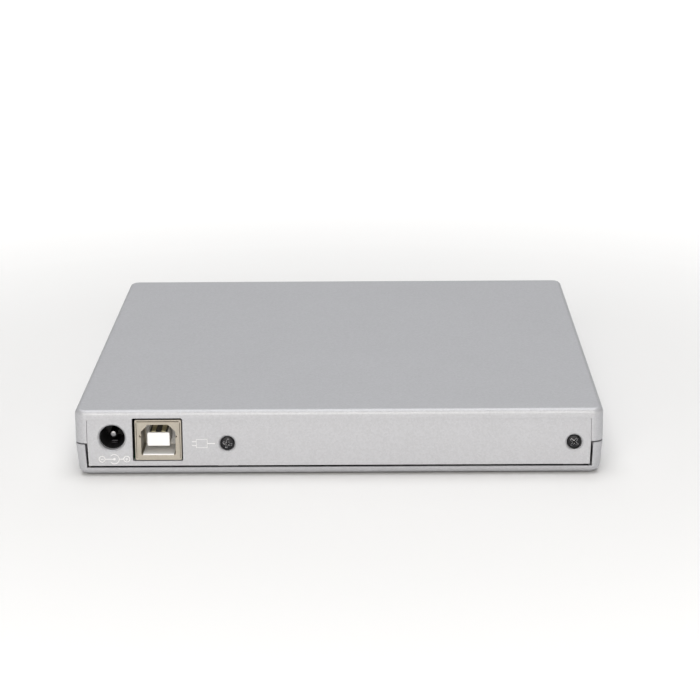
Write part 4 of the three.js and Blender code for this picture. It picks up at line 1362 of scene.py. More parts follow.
@dataclass
class PanelMarks:
    """Raised marks on the connector panel: the power plug's polarity, and a plain plug."""

    stroke: float = 0.12 * MM
    polarity_centre: Span = (58.1 * MM, 4.8 * MM)
    circle: float = 0.77 * MM
    ring: float = 1.25 * MM
    plug_centre: Span = (35.4 * MM, 8.9 * MM)

    def depth(self) -> float:
        """The Y of the marks' middle, just under the panel's face."""
        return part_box("top_cover")[1].y - 0.35 * MM

    def polarity(self) -> list[list[Point]]:
        """Lines of the symbol: a minus, an open ring round a dot, and a plus.

        Returns:
            The lines.
        """
        x, z = self.polarity_centre
        y = self.depth()
        reach = 3.2 * MM
        arm = self.circle * 0.5
        return [
            arc((x + reach, z), self.circle, 0, 360, y),
            arc((x - reach, z), self.circle, 0, 360, y),
            arc((x, z), self.ring, 40, 320, y),
            arc((x, z), 0.22 * MM, 0, 360, y),
            [(x + reach - self.circle, y, z), (x + self.ring * -0.2, y, z)],
            [(x - reach + self.circle, y, z), (x - self.ring, y, z)],
            [(x + reach - arm, y, z), (x + reach + arm, y, z)],
            [(x - reach - arm, y, z), (x - reach + arm, y, z)],
            [(x - reach, y, z - arm), (x - reach, y, z + arm)],
        ]

    def plug(self) -> list[list[Point]]:
        """Lines of a plain plug with its cable.

        Returns:
            The lines.
        """
        x, z = self.plug_centre
        y = self.depth()
        half, tall = 1.4 * MM, 1.1 * MM
        body = [
            (x - half, y, z - tall),
            (x + half, y, z - tall),
            (x + half, y, z + tall),
            (x - half, y, z + tall),
            (x - half, y, z - tall),
        ]
        prongs = [
            [(x + half, y, z + side * 0.5 * MM), (x + half + 1.1 * MM, y, z + side * 0.5 * MM)]
            for side in (-1, 1)
        ]
        cable = [(x - half, y, z), (x - half - 2.0 * MM, y, z)]
        return [body, *prongs, cable]

    def build(self, shop: Paintshop) -> None:
        """Builds both marks.

        Args:
            shop: the finishes.
        """
        for name, lines in (("polarity_mark", self.polarity()), ("plug_mark", self.plug())):
            piece = finish_piece(shop, bead(name, lines, self.stroke), Body.CASE, Slot.CASE_SHELL)
            # the lighter colour is a painted highlight on the raised lines
            shop.tint(piece, MARK_HIGHLIGHT)


def refined(
    shop: Paintshop, node: str, body: Body, slot: Slot, width: float = 0.1 * MM
) -> bpy.types.Object:
    """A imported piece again, welded and with its sharp edges broken.

    Args:
        shop: the finishes.
        node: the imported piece's name.
        body: the body it rides on.
        slot: its finish.
        width: the width of the broken edges.

    Returns:
        The new piece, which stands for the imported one.
    """
    work = Workpiece()
    source = frame["nodes"][node]
    work.mesh.from_mesh(source.data)
    work.move(source.matrix_world)
    bmesh.ops.remove_doubles(work.mesh, verts=work.mesh.verts, dist=1e-6)
    bmesh.ops.dissolve_limit(
        work.mesh,
        angle_limit=math.radians(1.0),
        verts=work.mesh.verts,
        edges=work.mesh.edges,
    )
    bmesh.ops.recalc_face_normals(work.mesh, faces=work.mesh.faces)
    piece = work.make(f"{node}_finished")
    soften(piece, width)
    return finish_piece(shop, piece, body, slot, node)


@dataclass
class UsbSocket:
    """The square socket: its folded frame, its white tongue and the contacts on it."""

    mouth_half: float = 4.45 * MM
    mouth_low: float = -4.1 * MM
    mouth_high: float = 4.1 * MM
    mouth_slant: float = 1.85 * MM
    mouth_depth: float = 10.0 * MM
    corner: float = 0.55 * MM
    tongue_half: float = 2.85 * MM
    tongue_height: float = 1.75 * MM

    def __post_init__(self) -> None:
        """Reads where the socket is."""
        self.low, self.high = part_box("usb_shell")
        self.x = (self.low.x + self.high.x) / 2
        self.z = (self.low.z + self.high.z) / 2
        self.front = self.high.y

    def mouth(self, y: Span, by: float = 0.0) -> Workpiece:
        """The mouth's outline as a solid, with its upper corners slanted and its lower ones round.

        Args:
            y: its reach.
            by: how far it is grown.

        Returns:
            The solid.
        """
        half, slant = self.mouth_half + by, self.mouth_slant
        low, high = self.z + self.mouth_low - by, self.z + self.mouth_high + by
        outline = [
            (self.x - half, low),
            (self.x + half, low),
            (self.x + half, high - slant),
            (self.x + half - slant, high),
            (self.x - half + slant, high),
            (self.x - half, high - slant),
        ]
        solid = Workpiece.plate(outline, y, Axis.Y)
        lower = [
            edge
            for edge in solid.mesh.edges
            if edge_along_y(edge) and edge.verts[0].co.z < low + 1e-6
        ]
        return solid.round_edges(lambda edge: edge in lower, self.corner, 4)

    def notches(self) -> list[Workpiece]:
        """The small slots in the mouth's sides."""
        reach = (self.front - 1.2 * MM, self.front + MM)
        z = (self.z + 0.7 * MM, self.z + 1.45 * MM)
        outer, inner = self.mouth_half + 0.42 * MM, self.mouth_half - 0.4 * MM
        middles = (self.x + side * (outer + inner) / 2 for side in (-1, 1))
        return [
            Workpiece.block(grown((x, x), (outer - inner) / 2), reach, z) for x in middles
        ]

    def folds(self) -> list[Workpiece]:
        """The lines where the frame's sheet is folded at its top and sides."""
        reach = (self.front - 0.8 * MM, self.front + 0.1 * MM)
        top = self.high.z - 0.58 * MM
        lines = [
            Workpiece.block(
                (self.low.x + 0.6 * MM, self.high.x - 0.45 * MM), reach, (top, top + 0.24 * MM)
            )
        ]
        for x in (self.low.x + 0.38 * MM, self.high.x - 0.38 * MM):
            lines.append(
                Workpiece.block(
                    grown((x, x), 0.07 * MM), reach, (self.low.z + 0.5 * MM, top - 0.2 * MM)
                )
            )
        return lines

    def build_shell(self) -> bpy.types.Object:
        """The frame and the walls of the mouth."""
        shell = Workpiece.block(
            (self.low.x, self.high.x), (self.low.y, self.front), (self.low.z, self.high.z)
        ).round_edges(edge_along_y, 0.35 * MM, 4)
        piece = shell.make("usb_frame")
        mouth = self.mouth((self.front - self.mouth_depth, self.front + MM))
        carve(piece, [mouth, *self.notches(), *self.folds()])
        soften(piece, 0.04 * MM)
        return piece

    def build_insulator(self) -> bpy.types.Object:
        """The white floor of the mouth with the tongue over it."""
        back = self.front - self.mouth_depth + 0.05 * MM
        floor = self.z + self.mouth_low
        half = self.mouth_half - 0.45 * MM
        piece = Workpiece.block(
            (self.x - half, self.x + half),
            (back, self.front - 0.08 * MM),
            (floor + 0.01 * MM, floor + 0.35 * MM),
        ).make("usb_tongue")
        tongue = Workpiece.block(
            (self.x - self.tongue_half, self.x + self.tongue_half),
            (back, self.front - 0.8 * MM),
            grown((self.z, self.z), self.tongue_height),
        )
        tongue.round_edges(
            lambda edge: edge_along_y(edge) and edge.verts[0].co.z > self.z, 0.35 * MM, 4
        )
        wall = Workpiece.block(
            (self.x - half, self.x + half),
            (back, back + 0.6 * MM),
            (floor + 0.1 * MM, self.z + self.tongue_height),
        )
        carve(piece, [tongue, wall], "UNION")
        soften(piece, 0.1 * MM)
        return piece

    def build_contacts(self) -> bpy.types.Object:
        """The springs that lie over the tongue and under it."""
        back, front = self.front - self.mouth_depth + 0.3 * MM, self.front - 1.5 * MM
        works = []
        for side in (-1, 1):
            for over in (-1, 1):
                z = self.z + over * (self.tongue_height + 0.12 * MM)
                works.append(
                    Workpiece.block(
                        grown((self.x + side * 1.28 * MM,) * 2, 0.55 * MM),
                        (back, front),
                        grown((z, z), 0.1 * MM),
                    )
                )
        piece = works[0].make("usb_contacts")
        carve(piece, works[1:], "UNION")
        soften(piece, 0.05 * MM)
        return piece

    def build_tongue_dark_plate(self) -> bpy.types.Object:
        """The dark plate between the contacts on top of the tongue."""
        back, front = self.front - self.mouth_depth + 0.3 * MM, self.front - 1.35 * MM
        z = self.z + self.tongue_height
        piece = Workpiece.block(
            grown((self.x, self.x), self.tongue_half - 0.55 * MM),
            (back, front),
            (z - 0.1 * MM, z + 0.1 * MM),
        ).make("usb_tongue_dark_plate")
        soften(piece, 0.04 * MM)
        return piece

    def build(self, shop: Paintshop) -> None:
        """Builds the socket.

        Args:
            shop: the finishes.
        """
        finish_piece(shop, self.build_shell(), Body.CASE, Slot.NICKEL, "usb_shell")
        finish_piece(shop, self.build_insulator(), Body.CASE, Slot.WHITE_PLASTIC, "usb_insulator")
        finish_piece(
            shop,
            self.build_contacts(),
            Body.CASE,
            Slot.GOLD,
            *(f"usb_contact_{a}_{b}" for a in ("upper", "lower") for b in ("left", "right")),
        )
        # a black plate that darkens the top of the tongue between the contacts
        finish_piece(shop, self.build_tongue_dark_plate(), Body.CASE, Slot.BLACK_PLASTIC)


@dataclass
class PowerInlet:
    """The barrel inlet: its black body, its pin and the spring contact under it."""

    bore: float = 3.1 * MM
    flare: float = 3.28 * MM
    floor_depth: float = 10.5 * MM

    def build(self, shop: Paintshop) -> None:
        """Builds the inlet.

        Args:
            shop: the finishes.
        """
        low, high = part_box("dc_jack_body")
        pin_low, pin_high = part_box("dc_pin")
        at = middle("dc_pin")
        body = Workpiece.block((low.x, high.x), (low.y, high.y), (low.z, high.z)).make("inlet_body")
        floor = high.y - self.floor_depth
        bore = Workpiece.rod(at, (floor, high.y + MM), self.bore, Axis.Y, 64)
        flare = Workpiece.rod(
            at, (high.y - 0.5 * MM, high.y + 0.02 * MM), (self.bore, self.flare), Axis.Y, 64
        )
        carve(body, [bore, flare])
        soften(body, 0.08 * MM)
        finish_piece(shop, body, Body.CASE, Slot.BLACK_PLASTIC, "dc_jack_body")
        radius = (pin_high.x - pin_low.x) / 2
        length = pin_high.y - floor
        pin = Workpiece.turned(
            [
                (0.0, -0.1 * MM),
                (radius, -0.1 * MM),
                (radius, length - 0.55 * MM),
                (radius * 0.92, length - 0.25 * MM),
                (radius * 0.7, length - 0.06 * MM),
                (radius * 0.35, length),
                (0.0, length),
            ],
            (at.x, floor, at.z),
            Axis.Y,
        ).make("inlet_pin")
        smooth(pin, 50.0)
        finish_piece(shop, pin, Body.CASE, Slot.NICKEL, "dc_pin")
        # the pin is coloured darker than its plating: painted shade in the bore
        shop.tint(pin, PIN_SHADE_TIN)
        spring_low, spring_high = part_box("dc_spring")
        leaf = Workpiece.plate(
            [
                (spring_low.x, spring_low.z),
                (spring_high.x, spring_low.z),
                (spring_high.x, spring_low.z + 0.2 * MM),
                (spring_low.x, spring_low.z + 0.2 * MM),
            ],
            (floor - 0.1 * MM, spring_high.y),
            Axis.Y,
        )
        crest = Workpiece.rod(
            Vector((at.x, spring_high.y - 1.5 * MM, spring_low.z + 0.1 * MM)),
            (spring_low.x, spring_high.x),
            0.5 * MM,
            Axis.X,
            32,
        )
        piece = leaf.make("inlet_spring")
        carve(piece, [crest], "UNION")
        soften(piece, 0.04 * MM)
        finish_piece(shop, piece, Body.CASE, Slot.NICKEL, "dc_spring")
        # the spring is coloured near black: painted shade in the bore
        shop.tint(piece, SPRING_SHADE_STEEL)


@dataclass
class Screws:
    """Black cross-headed screws: two in the connector panel and four under the drive."""

    recess_width: float = 0.5 * MM
    recess_reach: float = 1.15 * MM
    recess_depth: float = 0.9 * MM
    dome: float = 0.45 * MM
    wear: float = 0.06 * MM
    head_height: float = 1.4 * MM
    rear_turns: Span = (12.0, 38.0)
    drive_turn: float = 20.0

    def cross(self, at: Vector, face: float, axis: Axis, sign: int) -> list[Workpiece]:
        """The cross recess: two slots whose floors narrow, and a pit where they meet.

        Args:
            at: a point on the screw's axis.
            face: where the head's face lies along the axis.
            axis: the screw's axis.
            sign: +1 if the head faces the axis's positive end.

        Returns:
            The shapes to cut.
        """
        flat = [other for other in (0, 1, 2) if other != axis.value]
        ends = sorted((face - sign * self.recess_depth, face + sign * MM))
        cuts = []
        for long_way, short_way in (flat, flat[::-1]):
            spans: dict[int, Span] = {axis.value: (ends[0], ends[1])}
            spans[long_way] = grown((at[long_way],) * 2, self.recess_reach)
            spans[short_way] = grown((at[short_way],) * 2, self.recess_width / 2)
            cuts.append(Workpiece.block(spans[0], spans[1], spans[2]))
        pit = Workpiece.rod(at, (ends[0], ends[1]), 0.55 * MM, axis, 24)
        return [*cuts, pit]

    def head(self, node: str, axis: Axis, sign: int, turn: float) -> bpy.types.Object:
        """One screw with a domed head.

        Args:
            node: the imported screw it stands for.
            axis: its axis.
            sign: +1 if its head faces the axis's positive end.
            turn: how far its cross is turned, in degrees.

        Returns:
            The screw.
        """
        low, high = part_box(node)
        at = middle(node)
        radius = (high.x - low.x) / 2
        length = high[axis.value] - low[axis.value]
        foot = low if sign > 0 else high
        place = at.copy()
        place[axis.value] = foot[axis.value]
        shank = min(1.2 * MM, radius * 0.6)
        under_head = length - self.head_height
        profile = [(0.0, 0.0), (shank, 0.0), (shank, under_head)]
        profile += [(radius, under_head), (radius, length - self.dome)]
        for step in range(1, 7):
            angle = math.radians(90 * step / 6)
            bulge = length - self.dome * (1 - math.sin(angle))
            profile.append((radius * math.cos(angle) if step < 6 else 0.0, bulge))
        work = Workpiece.turned(profile, (0.0, 0.0, 0.0), axis)
        if sign < 0:
            work.move(Matrix.Rotation(math.pi, 4, "X"))
        work.move(Matrix.Translation(place))
        piece = work.weld().make(f"{node}_finished")
        face = high[axis.value] if sign > 0 else low[axis.value]
        spin = Matrix.Rotation(math.radians(turn), 4, "XYZ"[axis.value])
        about = Matrix.Translation(at) @ spin @ Matrix.Translation(-at)
        carve(piece, [tool.move(about) for tool in self.cross(at, face, axis, sign)])
        return piece

    def worn_edges(self, node: str, turn: float) -> bpy.types.Object:
        """The bright rim of a rear screw's cross, laid on its dome.

        Args:
            node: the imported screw.
            turn: how far its cross is turned, in degrees.

        Returns:
            The rim.
        """
        low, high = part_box(node)
        at = middle(node)
        radius = (high.x - low.x) / 2
        half, reach = self.recess_width / 2, self.recess_reach
        quarter = [(half, half), (half, reach), (-half, reach)]
        corners = []
        for step in range(4):
            spin = Matrix.Rotation(math.radians(90 * step + turn), 2)
            corners += [spin @ Vector(corner) for corner in quarter]
        line: list[Point] = []
        for corner in [*corners, corners[0]]:
            drop = self.dome * (1 - math.sqrt(1 - (corner.length / radius) ** 2))
            line.append((at.x + corner.x, high.y - drop, at.z + corner.y))
        return bead(f"{node}_worn_edges", [line], self.wear)

    def place(
        self, shop: Paintshop, node: str, axis: Axis, sign: int, turn: float
    ) -> bpy.types.Object:
        """Builds one screw, blackened but for the edges of its cross.

        Args:
            shop: the finishes.
            node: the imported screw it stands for.
            axis: its axis.
            sign: +1 if its head faces the axis's positive end.
            turn: how far its cross is turned, in degrees.

        Returns:
            The screw.
        """
        piece = self.head(node, axis, sign, turn)
        finish_piece(shop, piece, Body.CASE, Slot.BLACK_SCREW, node)
        piece.data.materials.append(shop.variant(WORN_EDGE))
        soften(piece, 0.07 * MM, 40.0, edge_finish=1)
        return piece

    def build(self, shop: Paintshop) -> None:
        """Builds the six screws.

        Args:
            shop: the finishes.
        """
        for node, turn in zip(REAR_SCREWS, self.rear_turns):
            self.place(shop, node, Axis.Y, 1, -turn)
            rim = finish_piece(shop, self.worn_edges(node, turn), Body.CASE, Slot.BLACK_SCREW)
            shop.tint(rim, WORN_EDGE)
        for node in DRIVE_SCREWS:
            self.place(shop, node, Axis.Z, -1, self.drive_turn)


@dataclass
class Feet:
    """Four round rubber feet with a soft edge and a shallow dish."""

    edge: float = 0.22 * MM
    dish: float = 0.12 * MM

    def build(self, shop: Paintshop) -> None:
        """Builds the feet.

        Args:
            shop: the finishes.
        """
        for node in FEET:
            low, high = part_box(node)
            radius, tall = (high.x - low.x) / 2, high.z - low.z
            rim = radius - 1.2 * MM
            profile = [
                (0.0, self.dish),
                (rim * 0.6, self.dish),
                (rim, 0.02 * MM),
                (rim + 0.2 * MM, 0.0),
                (radius - self.edge, 0.0),
                (radius - self.edge * 0.3, self.edge * 0.3),
                (radius, self.edge),
                (radius, tall),
                (0.0, tall),
            ]
            at = middle(node)
            foot = Workpiece.turned(profile, (at.x, at.y, low.z)).make(f"{node}_finished")
            smooth(foot, 40.0)
            finish_piece(shop, foot, Body.CASE, Slot.FOOT, node)


@dataclass
class TrayFront:
    """The tray's painted front with its button, its light and its release hole."""

    edge: float = 0.45 * MM
    button_edge: float = 0.35 * MM
    button_gap: float = 0.3 * MM

    def build(self, shop: Paintshop) -> None:
        """Builds the front.

        Args:
            shop: the finishes.
        """
        low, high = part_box("tray_bezel")
        button_low, button_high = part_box("eject_button")
        flange = 0.7 * MM
        cap_x = grown((button_low.x, button_high.x), -flange)
        cap_z = grown((button_low.z, button_high.z), -0.4 * MM)
        front = Workpiece.block((low.x, high.x), (low.y, high.y), (low.z, high.z))
        front.round_edges(edge_along_y, 1.0 * MM, 6)
        front.round_edges(rim_at(low.y, Axis.Y), self.edge, 4)
        piece = front.make("tray_front")
        through = (low.y - MM, high.y + MM)
        hole = Workpiece.block(
            grown(cap_x, self.button_gap), through, grown(cap_z, self.button_gap)
        ).round_edges(edge_along_y, 0.8 * MM, 5)
        pipe = middle("light_pipe")
        release = Vector((pipe.x - 6.0 * MM, 0.0, pipe.z))
        holes = [
            hole,
            Workpiece.rod(pipe, through, 1.0 * MM, Axis.Y, 32),
            Workpiece.rod(release, through, 0.55 * MM, Axis.Y, 24),
        ]
        carve(piece, holes)
        soften(piece, 0.08 * MM)
        finish_piece(shop, piece, Body.TRAY, Slot.CASE_SHELL, "tray_bezel")
        cap = Workpiece.block(cap_x, (button_low.y, high.y + 0.4 * MM), cap_z)
        cap.round_edges(edge_along_y, 0.7 * MM, 5)
        cap.round_edges(rim_at(button_low.y, Axis.Y), self.button_edge, 4)
        button = cap.make("button_cap")
        dish = Workpiece.rod(
            Vector(((cap_x[0] + cap_x[1]) / 2, button_low.y - 7.9 * MM, 0.0)),
            cap_z,
            8.0 * MM,
            Axis.Z,
            96,
        )
        carve(button, [dish])
        back = Workpiece.block(
            (button_low.x, button_high.x),
            (high.y + 0.15 * MM, high.y + 0.75 * MM),
            (button_low.z, button_high.z),
        )
        stem = Workpiece.rod(
            middle("eject_button"), (high.y + 0.5 * MM, button_high.y), MM, Axis.Y, 24
        )
        carve(button, [back, stem], "UNION")
        soften(button, 0.05 * MM)
        finish_piece(shop, button, Body.BUTTON, Slot.CASE_SHELL, "eject_button")
        refined(shop, "light_pipe", Body.TRAY, Slot.CLEAR_PLASTIC, 0.12 * MM)


@dataclass
class Traverse:
    """The spindle, the sled with its lens, and the screw that drives it."""

    ball: float = 0.765 * MM
    core: float = 1.02 * MM
    thread: float = 0.24 * MM
    screw_radius: float = 1.3 * MM
    pitch: float = 1.0 * MM
    coil_turns: int = 9

    def lens_path(self) -> tuple[Vector, Vector]:
        """The spindle's place, and the direction from it to the lens."""
        spindle = middle("turntable")
        lens = middle("objective_lens")
        out = Vector((lens.x - spindle.x, lens.y - spindle.y, 0)).normalized()
        return Vector((spindle.x, spindle.y, 0)), out

    def build_windings(self) -> bpy.types.Object:
        """Nine coils round the motor's core, under the turntable."""
        low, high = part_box("spindle_stator")
        at = middle("spindle_stator")
        work = Workpiece.turned(
            [
                (1.3 * MM, 0.05 * MM),
                (11.2 * MM, 0.05 * MM),
                (11.2 * MM, 0.6 * MM),
                (4.2 * MM, 0.8 * MM),
                (3.4 * MM, high.z - low.z - 0.1 * MM),
                (1.3 * MM, high.z - low.z - 0.1 * MM),
                (1.3 * MM, 0.05 * MM),
            ],
            (at.x, at.y, low.z),
            sides=48,
        )
        piece = work.make("stator_windings")
        coils = []
        for turn in range(self.coil_turns):
            angle = 2 * math.pi * turn / self.coil_turns
            arm = Workpiece.block(
                (3.0 * MM, 8.8 * MM), (-1.1 * MM, 1.1 * MM), (1.4 * MM, high.z - low.z - 0.3 * MM)
            )
            arm.round_edges(lambda edge: not upright_edge(edge), 0.35 * MM, 3)
            place = Matrix.Translation((at.x, at.y, low.z)) @ Matrix.Rotation(angle, 4, "Z")
            coils.append(arm.move(place))
        carve(piece, coils, "UNION")
        smooth(piece, 40.0)
        return piece

    def build_hub(self) -> bpy.types.Object:
        """The clamp's hub: a dished boss with a rounded rim."""
        low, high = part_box("clamp_hub")
        spindle, _ = self.lens_path()
        tall = high.z - low.z
        radius = 7.05 * MM
        profile = [
            (0.0, 0.0),
            (radius, 0.0),
            (radius, tall * 0.55),
            (radius - 0.25 * MM, tall * 0.82),
            (radius - 0.9 * MM, tall * 0.98),
            (radius - 1.6 * MM, tall),
            (3.2 * MM, tall),
            (2.9 * MM, tall * 0.8),
            (1.2 * MM, tall * 0.8),
            (1.1 * MM, tall * 0.9),
            (0.0, tall * 0.9),
        ]
        hub = Workpiece.turned(profile, (spindle.x, spindle.y, low.z)).make("clamp_boss")
        pockets = []
        for turn in range(3):
            angle = math.radians(120 * turn + 30)
            pocket = Workpiece.block(
                (radius - 2.4 * MM, radius + MM), (-1.2 * MM, 1.2 * MM), (0.35 * MM, tall * 0.7)
            )
            place = Matrix.Translation((spindle.x, spindle.y, low.z))
            pockets.append(pocket.move(place @ Matrix.Rotation(angle, 4, "Z")))
        carve(hub, pockets)
        soften(hub, 0.06 * MM)
        return hub

    def build_balls(self) -> bpy.types.Object:
        """The three sprung balls that hold a disc, in the hub's pockets."""
        low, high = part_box("clamp_hub")
        spindle, _ = self.lens_path()
        work = Workpiece()
        for turn in range(3):
            angle = math.radians(120 * turn + 30)
            at = Vector((math.cos(angle), math.sin(angle), 0)) * (6.3 * MM) + spindle
            at.z = low.z + (high.z - low.z) * 0.38
            bmesh.ops.create_icosphere(
                work.mesh, subdivisions=3, radius=self.ball, matrix=Matrix.Translation(at)
            )
        piece = work.make("clamp_balls")
        smooth(piece, 60.0)
        return piece

    def build_lens(self) -> bpy.types.Object:
        """The objective lens: a flat rim and a steep dome."""
        low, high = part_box("objective_lens")
        at = middle("objective_lens")
        rim = (high.x - low.x) / 2
        tall = high.z - low.z
        profile = [(0.0, 0.0), (rim, 0.0), (rim, tall * 0.42), (rim * 0.84, tall * 0.46)]
        dome = rim * 0.8
        for step in range(9):
            angle = math.radians(90 * step / 8)
            height = tall * (0.46 + 0.54 * math.sin(angle))
            profile.append((dome * math.cos(angle) if step < 8 else 0.0, height))
        lens = Workpiece.turned(profile, (at.x, at.y, low.z)).make("lens_glass")
        smooth(lens, 30.0)
        return lens

    def build_screw(self) -> tuple[bpy.types.Object, bpy.types.Object]:
        """The lead screw's core and its thread, along the lens's path."""
        low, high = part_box("lead_screw")
        at = middle("lead_screw")
        at.z = high.z - self.screw_radius
        _, out = self.lens_path()
        reach = (high.x - low.x) / 2 / abs(out.x) * 0.94
        journal = 0.7 * MM
        profile = [
            (0.0, -reach),
            (journal, -reach),
            (journal, -reach * 0.93),
            (self.core, -reach * 0.92),
            (self.core, reach * 0.92),
            (journal, reach * 0.93),
            (journal, reach),
            (0.0, reach),
        ]
        bar = Workpiece.turned(profile, (0.0, 0.0, 0.0), sides=32)
        lie = out.to_track_quat("Z", "Y").to_matrix().to_4x4()
        core = bar.move(Matrix.Translation(at) @ lie).weld().make("screw_core")
        smooth(core, 30.0)
        turns = int(2 * reach * 0.9 / self.pitch)
        line: list[Point] = []
        side = Vector((-out.y, out.x, 0))
        for step in range(turns * 12 + 1):
            angle = math.radians(30 * step)
            along = out * (-reach * 0.9 + self.pitch * step / 12)
            ring = side * math.cos(angle) + Vector((0, 0, 1)) * math.sin(angle)
            line.append(tuple(at + along + ring * self.core))
        return core, bead("screw_thread", [line], self.thread)

    def build(self, shop: Paintshop) -> None:
        """Builds the traverse's visible pieces.

        Args:
            shop: the finishes.
        """
        windings = self.build_windings()
        finish_piece(shop, windings, Body.TRAY, Slot.COPPER, "spindle_stator")
        finish_piece(shop, self.build_hub(), Body.SPINDLE, Slot.BLACK_PLASTIC, "clamp_hub")
        finish_piece(shop, self.build_balls(), Body.SPINDLE, Slot.STEEL)
        refined(shop, "turntable", Body.SPINDLE, Slot.STEEL, 0.15 * MM)
        refined(shop, "turntable_ring", Body.SPINDLE, Slot.FOOT, 0.12 * MM)
        finish_piece(shop, self.build_lens(), Body.LENS, Slot.LENS, "objective_lens")
        refined(shop, "lens_holder", Body.LENS, Slot.BLACK_PLASTIC, 0.15 * MM)
        refined(shop, "pickup_sled", Body.SLED, Slot.GREY_PLASTIC, 0.3 * MM)
        refined(shop, "sled_follower", Body.SLED, Slot.WHITE_PLASTIC, 0.1 * MM)
        core, thread = self.build_screw()
        finish_piece(shop, core, Body.LEAD_SCREW, Slot.STEEL, "lead_screw")
        finish_piece(shop, thread, Body.LEAD_SCREW, Slot.STEEL)
        for node in ("guide_shaft_inner", "guide_shaft_outer", "traverse_frame", "sled_motor"):
            refined(shop, node, Body.TRAY, Slot.STEEL, 0.12 * MM)


@dataclass
class Ribbon:
    """The folded cable, with a lower strand and an upper strand."""

    steps: int = 80
    columns: int = 12
    spread: float = 0.54 * MM
    tray_end: float = 45.0 * MM
    case_end_inset: float = 0.2 * MM

    def height(self, share: float, low: float, high: float) -> float:
        """The height at which a smooth step between two heights equals a share.

        Args:
            share: where the point lies along the cable, from 0 to 1.
            low: the height for a share of 0.
            high: the height for a share of 1.

        Returns:
            The height, from the inverse of the smooth step.
        """
        t = 0.5 - math.sin(math.asin(1 - 2 * share) / 3)
        return low + (high - low) * t

    def build(self, shop: Paintshop) -> None:
        """Builds the cable as one sheet without thickness, folded at its front end.

        Args:
            shop: the finishes.
        """
        low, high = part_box("flex_cable")
        bottom, top = low.z, low.z + self.spread
        work = Workpiece()
        rows = []
        for step in range(2 * self.steps + 1):
            share = step / (2 * self.steps)
            if share <= 0.5:
                y = high.y - self.case_end_inset - 2 * share * (high.y - low.y)
            else:
                y = low.y + (2 * share - 1) * (self.tray_end - low.y)
            z = self.height(share, bottom, top)
            xs = (low.x + (high.x - low.x) * i / self.columns for i in range(self.columns + 1))
            rows.append([work.mesh.verts.new((x, y, z)) for x in xs])
        for near, far in zip(rows, rows[1:]):
            for i in range(self.columns):
                work.mesh.faces.new((near[i], near[i + 1], far[i + 1], far[i]))
        piece = work.make("ribbon")
        smooth(piece, 60.0)
        shop.paint(piece, Slot.RIBBON)
        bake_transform(piece)
        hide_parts("flex_cable")
        log.info("ribbon: %d faces", len(piece.data.polygons))


@dataclass
class Ejector:
    """The spring behind the pusher that starts the tray on its way out."""

    turns: int = 9
    wire: float = 0.22 * MM
    radius: float = 1.65 * MM

    def build(self, shop: Paintshop) -> None:
        """Builds the spring.

        Args:
            shop: the finishes.
        """
        low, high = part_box("ejector_pusher")
        at = middle("ejector_pusher")
        start, end = low.y + 3.0 * MM, high.y - 5.2 * MM
        steps = self.turns * 16
        line: list[Point] = []
        for step in range(steps + 1):
            angle = 2 * math.pi * step / 16
            x = at.x + self.radius * math.cos(angle)
            z = at.z + self.radius * math.sin(angle)
            line.append((x, start + (end - start) * step / steps, z))
        spring = bead("ejector_spring", [line], self.wire)
        finish_piece(shop, spring, Body.TRAY, Slot.STEEL)


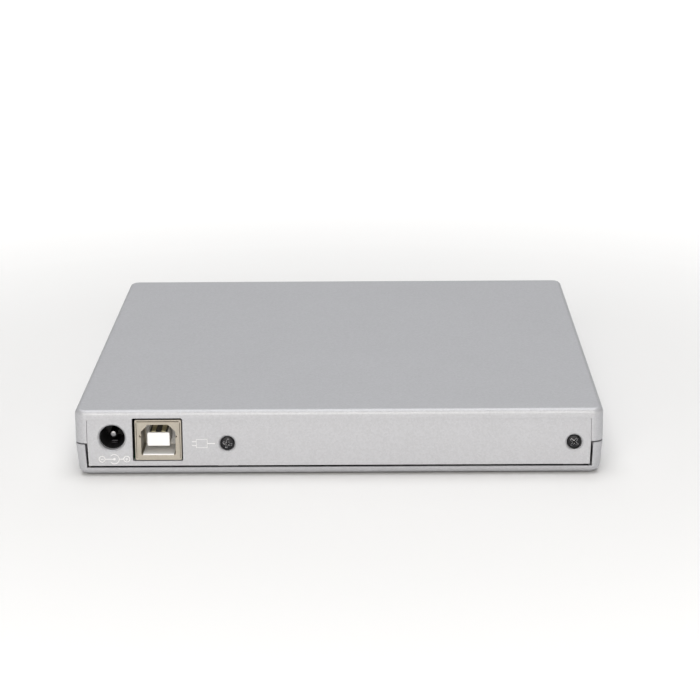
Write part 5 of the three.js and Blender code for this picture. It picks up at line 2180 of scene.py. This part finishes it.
@dataclass
class Boards:
    """The small parts on the bridge board and on the drive's own board."""

    leg_pitch: float = 0.8 * MM
    leg_size: Point = (0.9 * MM, 0.35 * MM, 0.18 * MM)
    solder: float = 0.02 * MM

    def chip(self, name: str, at: Point, size: Point, body: Body, shop: Paintshop) -> None:
        """A flat chip with a row of legs on two sides.

        Args:
            name: its name.
            at: the middle of its underside.
            size: its width, depth and height.
            body: the body it rides on.
            shop: the finishes.
        """
        x, y, z = at
        wide, deep, tall = size
        case = Workpiece.block(
            grown((x, x), wide / 2), grown((y, y), deep / 2), (z + 0.1 * MM, z + tall)
        ).make(name)
        dimple = Workpiece.rod(
            Vector((x - wide * 0.38, y + deep * 0.36, z)),
            (z + tall - 0.1 * MM, z + tall + MM),
            0.3 * MM,
        )
        carve(case, [dimple])
        soften(case, 0.1 * MM)
        finish_piece(shop, case, body, Slot.BLACK_PLASTIC)
        legs = Workpiece()
        count = int(deep / self.leg_pitch)
        for side in (-1, 1):
            for i in range(count):
                y_leg = y + (i - (count - 1) / 2) * self.leg_pitch
                edge = x + side * wide / 2
                place = Matrix.Translation((edge + side * 0.35 * MM, y_leg, z + 0.12 * MM))
                stretch = Matrix.Diagonal((*self.leg_size, 1))
                bmesh.ops.create_cube(legs.mesh, size=1, matrix=place @ stretch)
        finish_piece(shop, legs.make(f"{name}_legs"), body, Slot.STEEL)

    def build(self, shop: Paintshop) -> None:
        """Builds the parts of both boards.

        Args:
            shop: the finishes.
        """
        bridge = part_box("bridge_board")[1].z + self.solder
        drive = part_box("main_board")[1].z + self.solder
        for name, at, size, body in (
            ("bridge_chip", (6 * MM, 63.2 * MM, bridge), (9 * MM, 9 * MM, MM), Body.CASE),
            ("memory_chip", (22 * MM, 64 * MM, bridge), (4 * MM, 5 * MM, 1.2 * MM), Body.CASE),
            ("servo_chip", (-8 * MM, 30 * MM, drive), (10 * MM, 10 * MM, MM), Body.TRAY),
        ):
            self.chip(name, at, size, body, shop)
        for node, body in (("bridge_board", Body.CASE), ("main_board", Body.TRAY)):
            refined(shop, node, body, Slot.CIRCUIT_BOARD, 0.12 * MM)


@dataclass
class Chassis:
    """The drive's steel box, its guides and the tray that slides in it."""

    sheet_edge: float = 0.1 * MM
    guide_edge: float = 0.15 * MM
    tray_edge: float = 0.18 * MM

    def build(self, shop: Paintshop) -> None:
        """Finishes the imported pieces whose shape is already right.

        Args:
            shop: the finishes.
        """
        for node in ("chassis_pan", "chassis_lid"):
            refined(shop, node, Body.CASE, Slot.STEEL, self.sheet_edge)
        for node in ("guide_left", "guide_right", "drive_connector", "bridge_socket"):
            refined(shop, node, Body.CASE, Slot.BLACK_PLASTIC, self.guide_edge)
        for node in ("tray", "tray_deck"):
            refined(shop, node, Body.TRAY, Slot.BLACK_PLASTIC, self.tray_edge)
        refined(shop, "pickup_window", Body.TRAY, Slot.GREY_PLASTIC, self.sheet_edge)


def main() -> None:
    """Builds the object's looks in order."""
    logging.basicConfig(level=logging.INFO, format="%(name)s: %(message)s")
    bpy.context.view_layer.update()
    Studio().build()
    shop = Paintshop()
    shop.dress_nodes()
    for assembly in (
        CaseShells(),
        PanelMarks(),
        UsbSocket(),
        PowerInlet(),
        Screws(),
        Feet(),
        TrayFront(),
        Chassis(),
        Traverse(),
        Ribbon(),
        Ejector(),
        Boards(),
    ):
        assembly.build(shop)


if __name__ == "__main__":
    main()
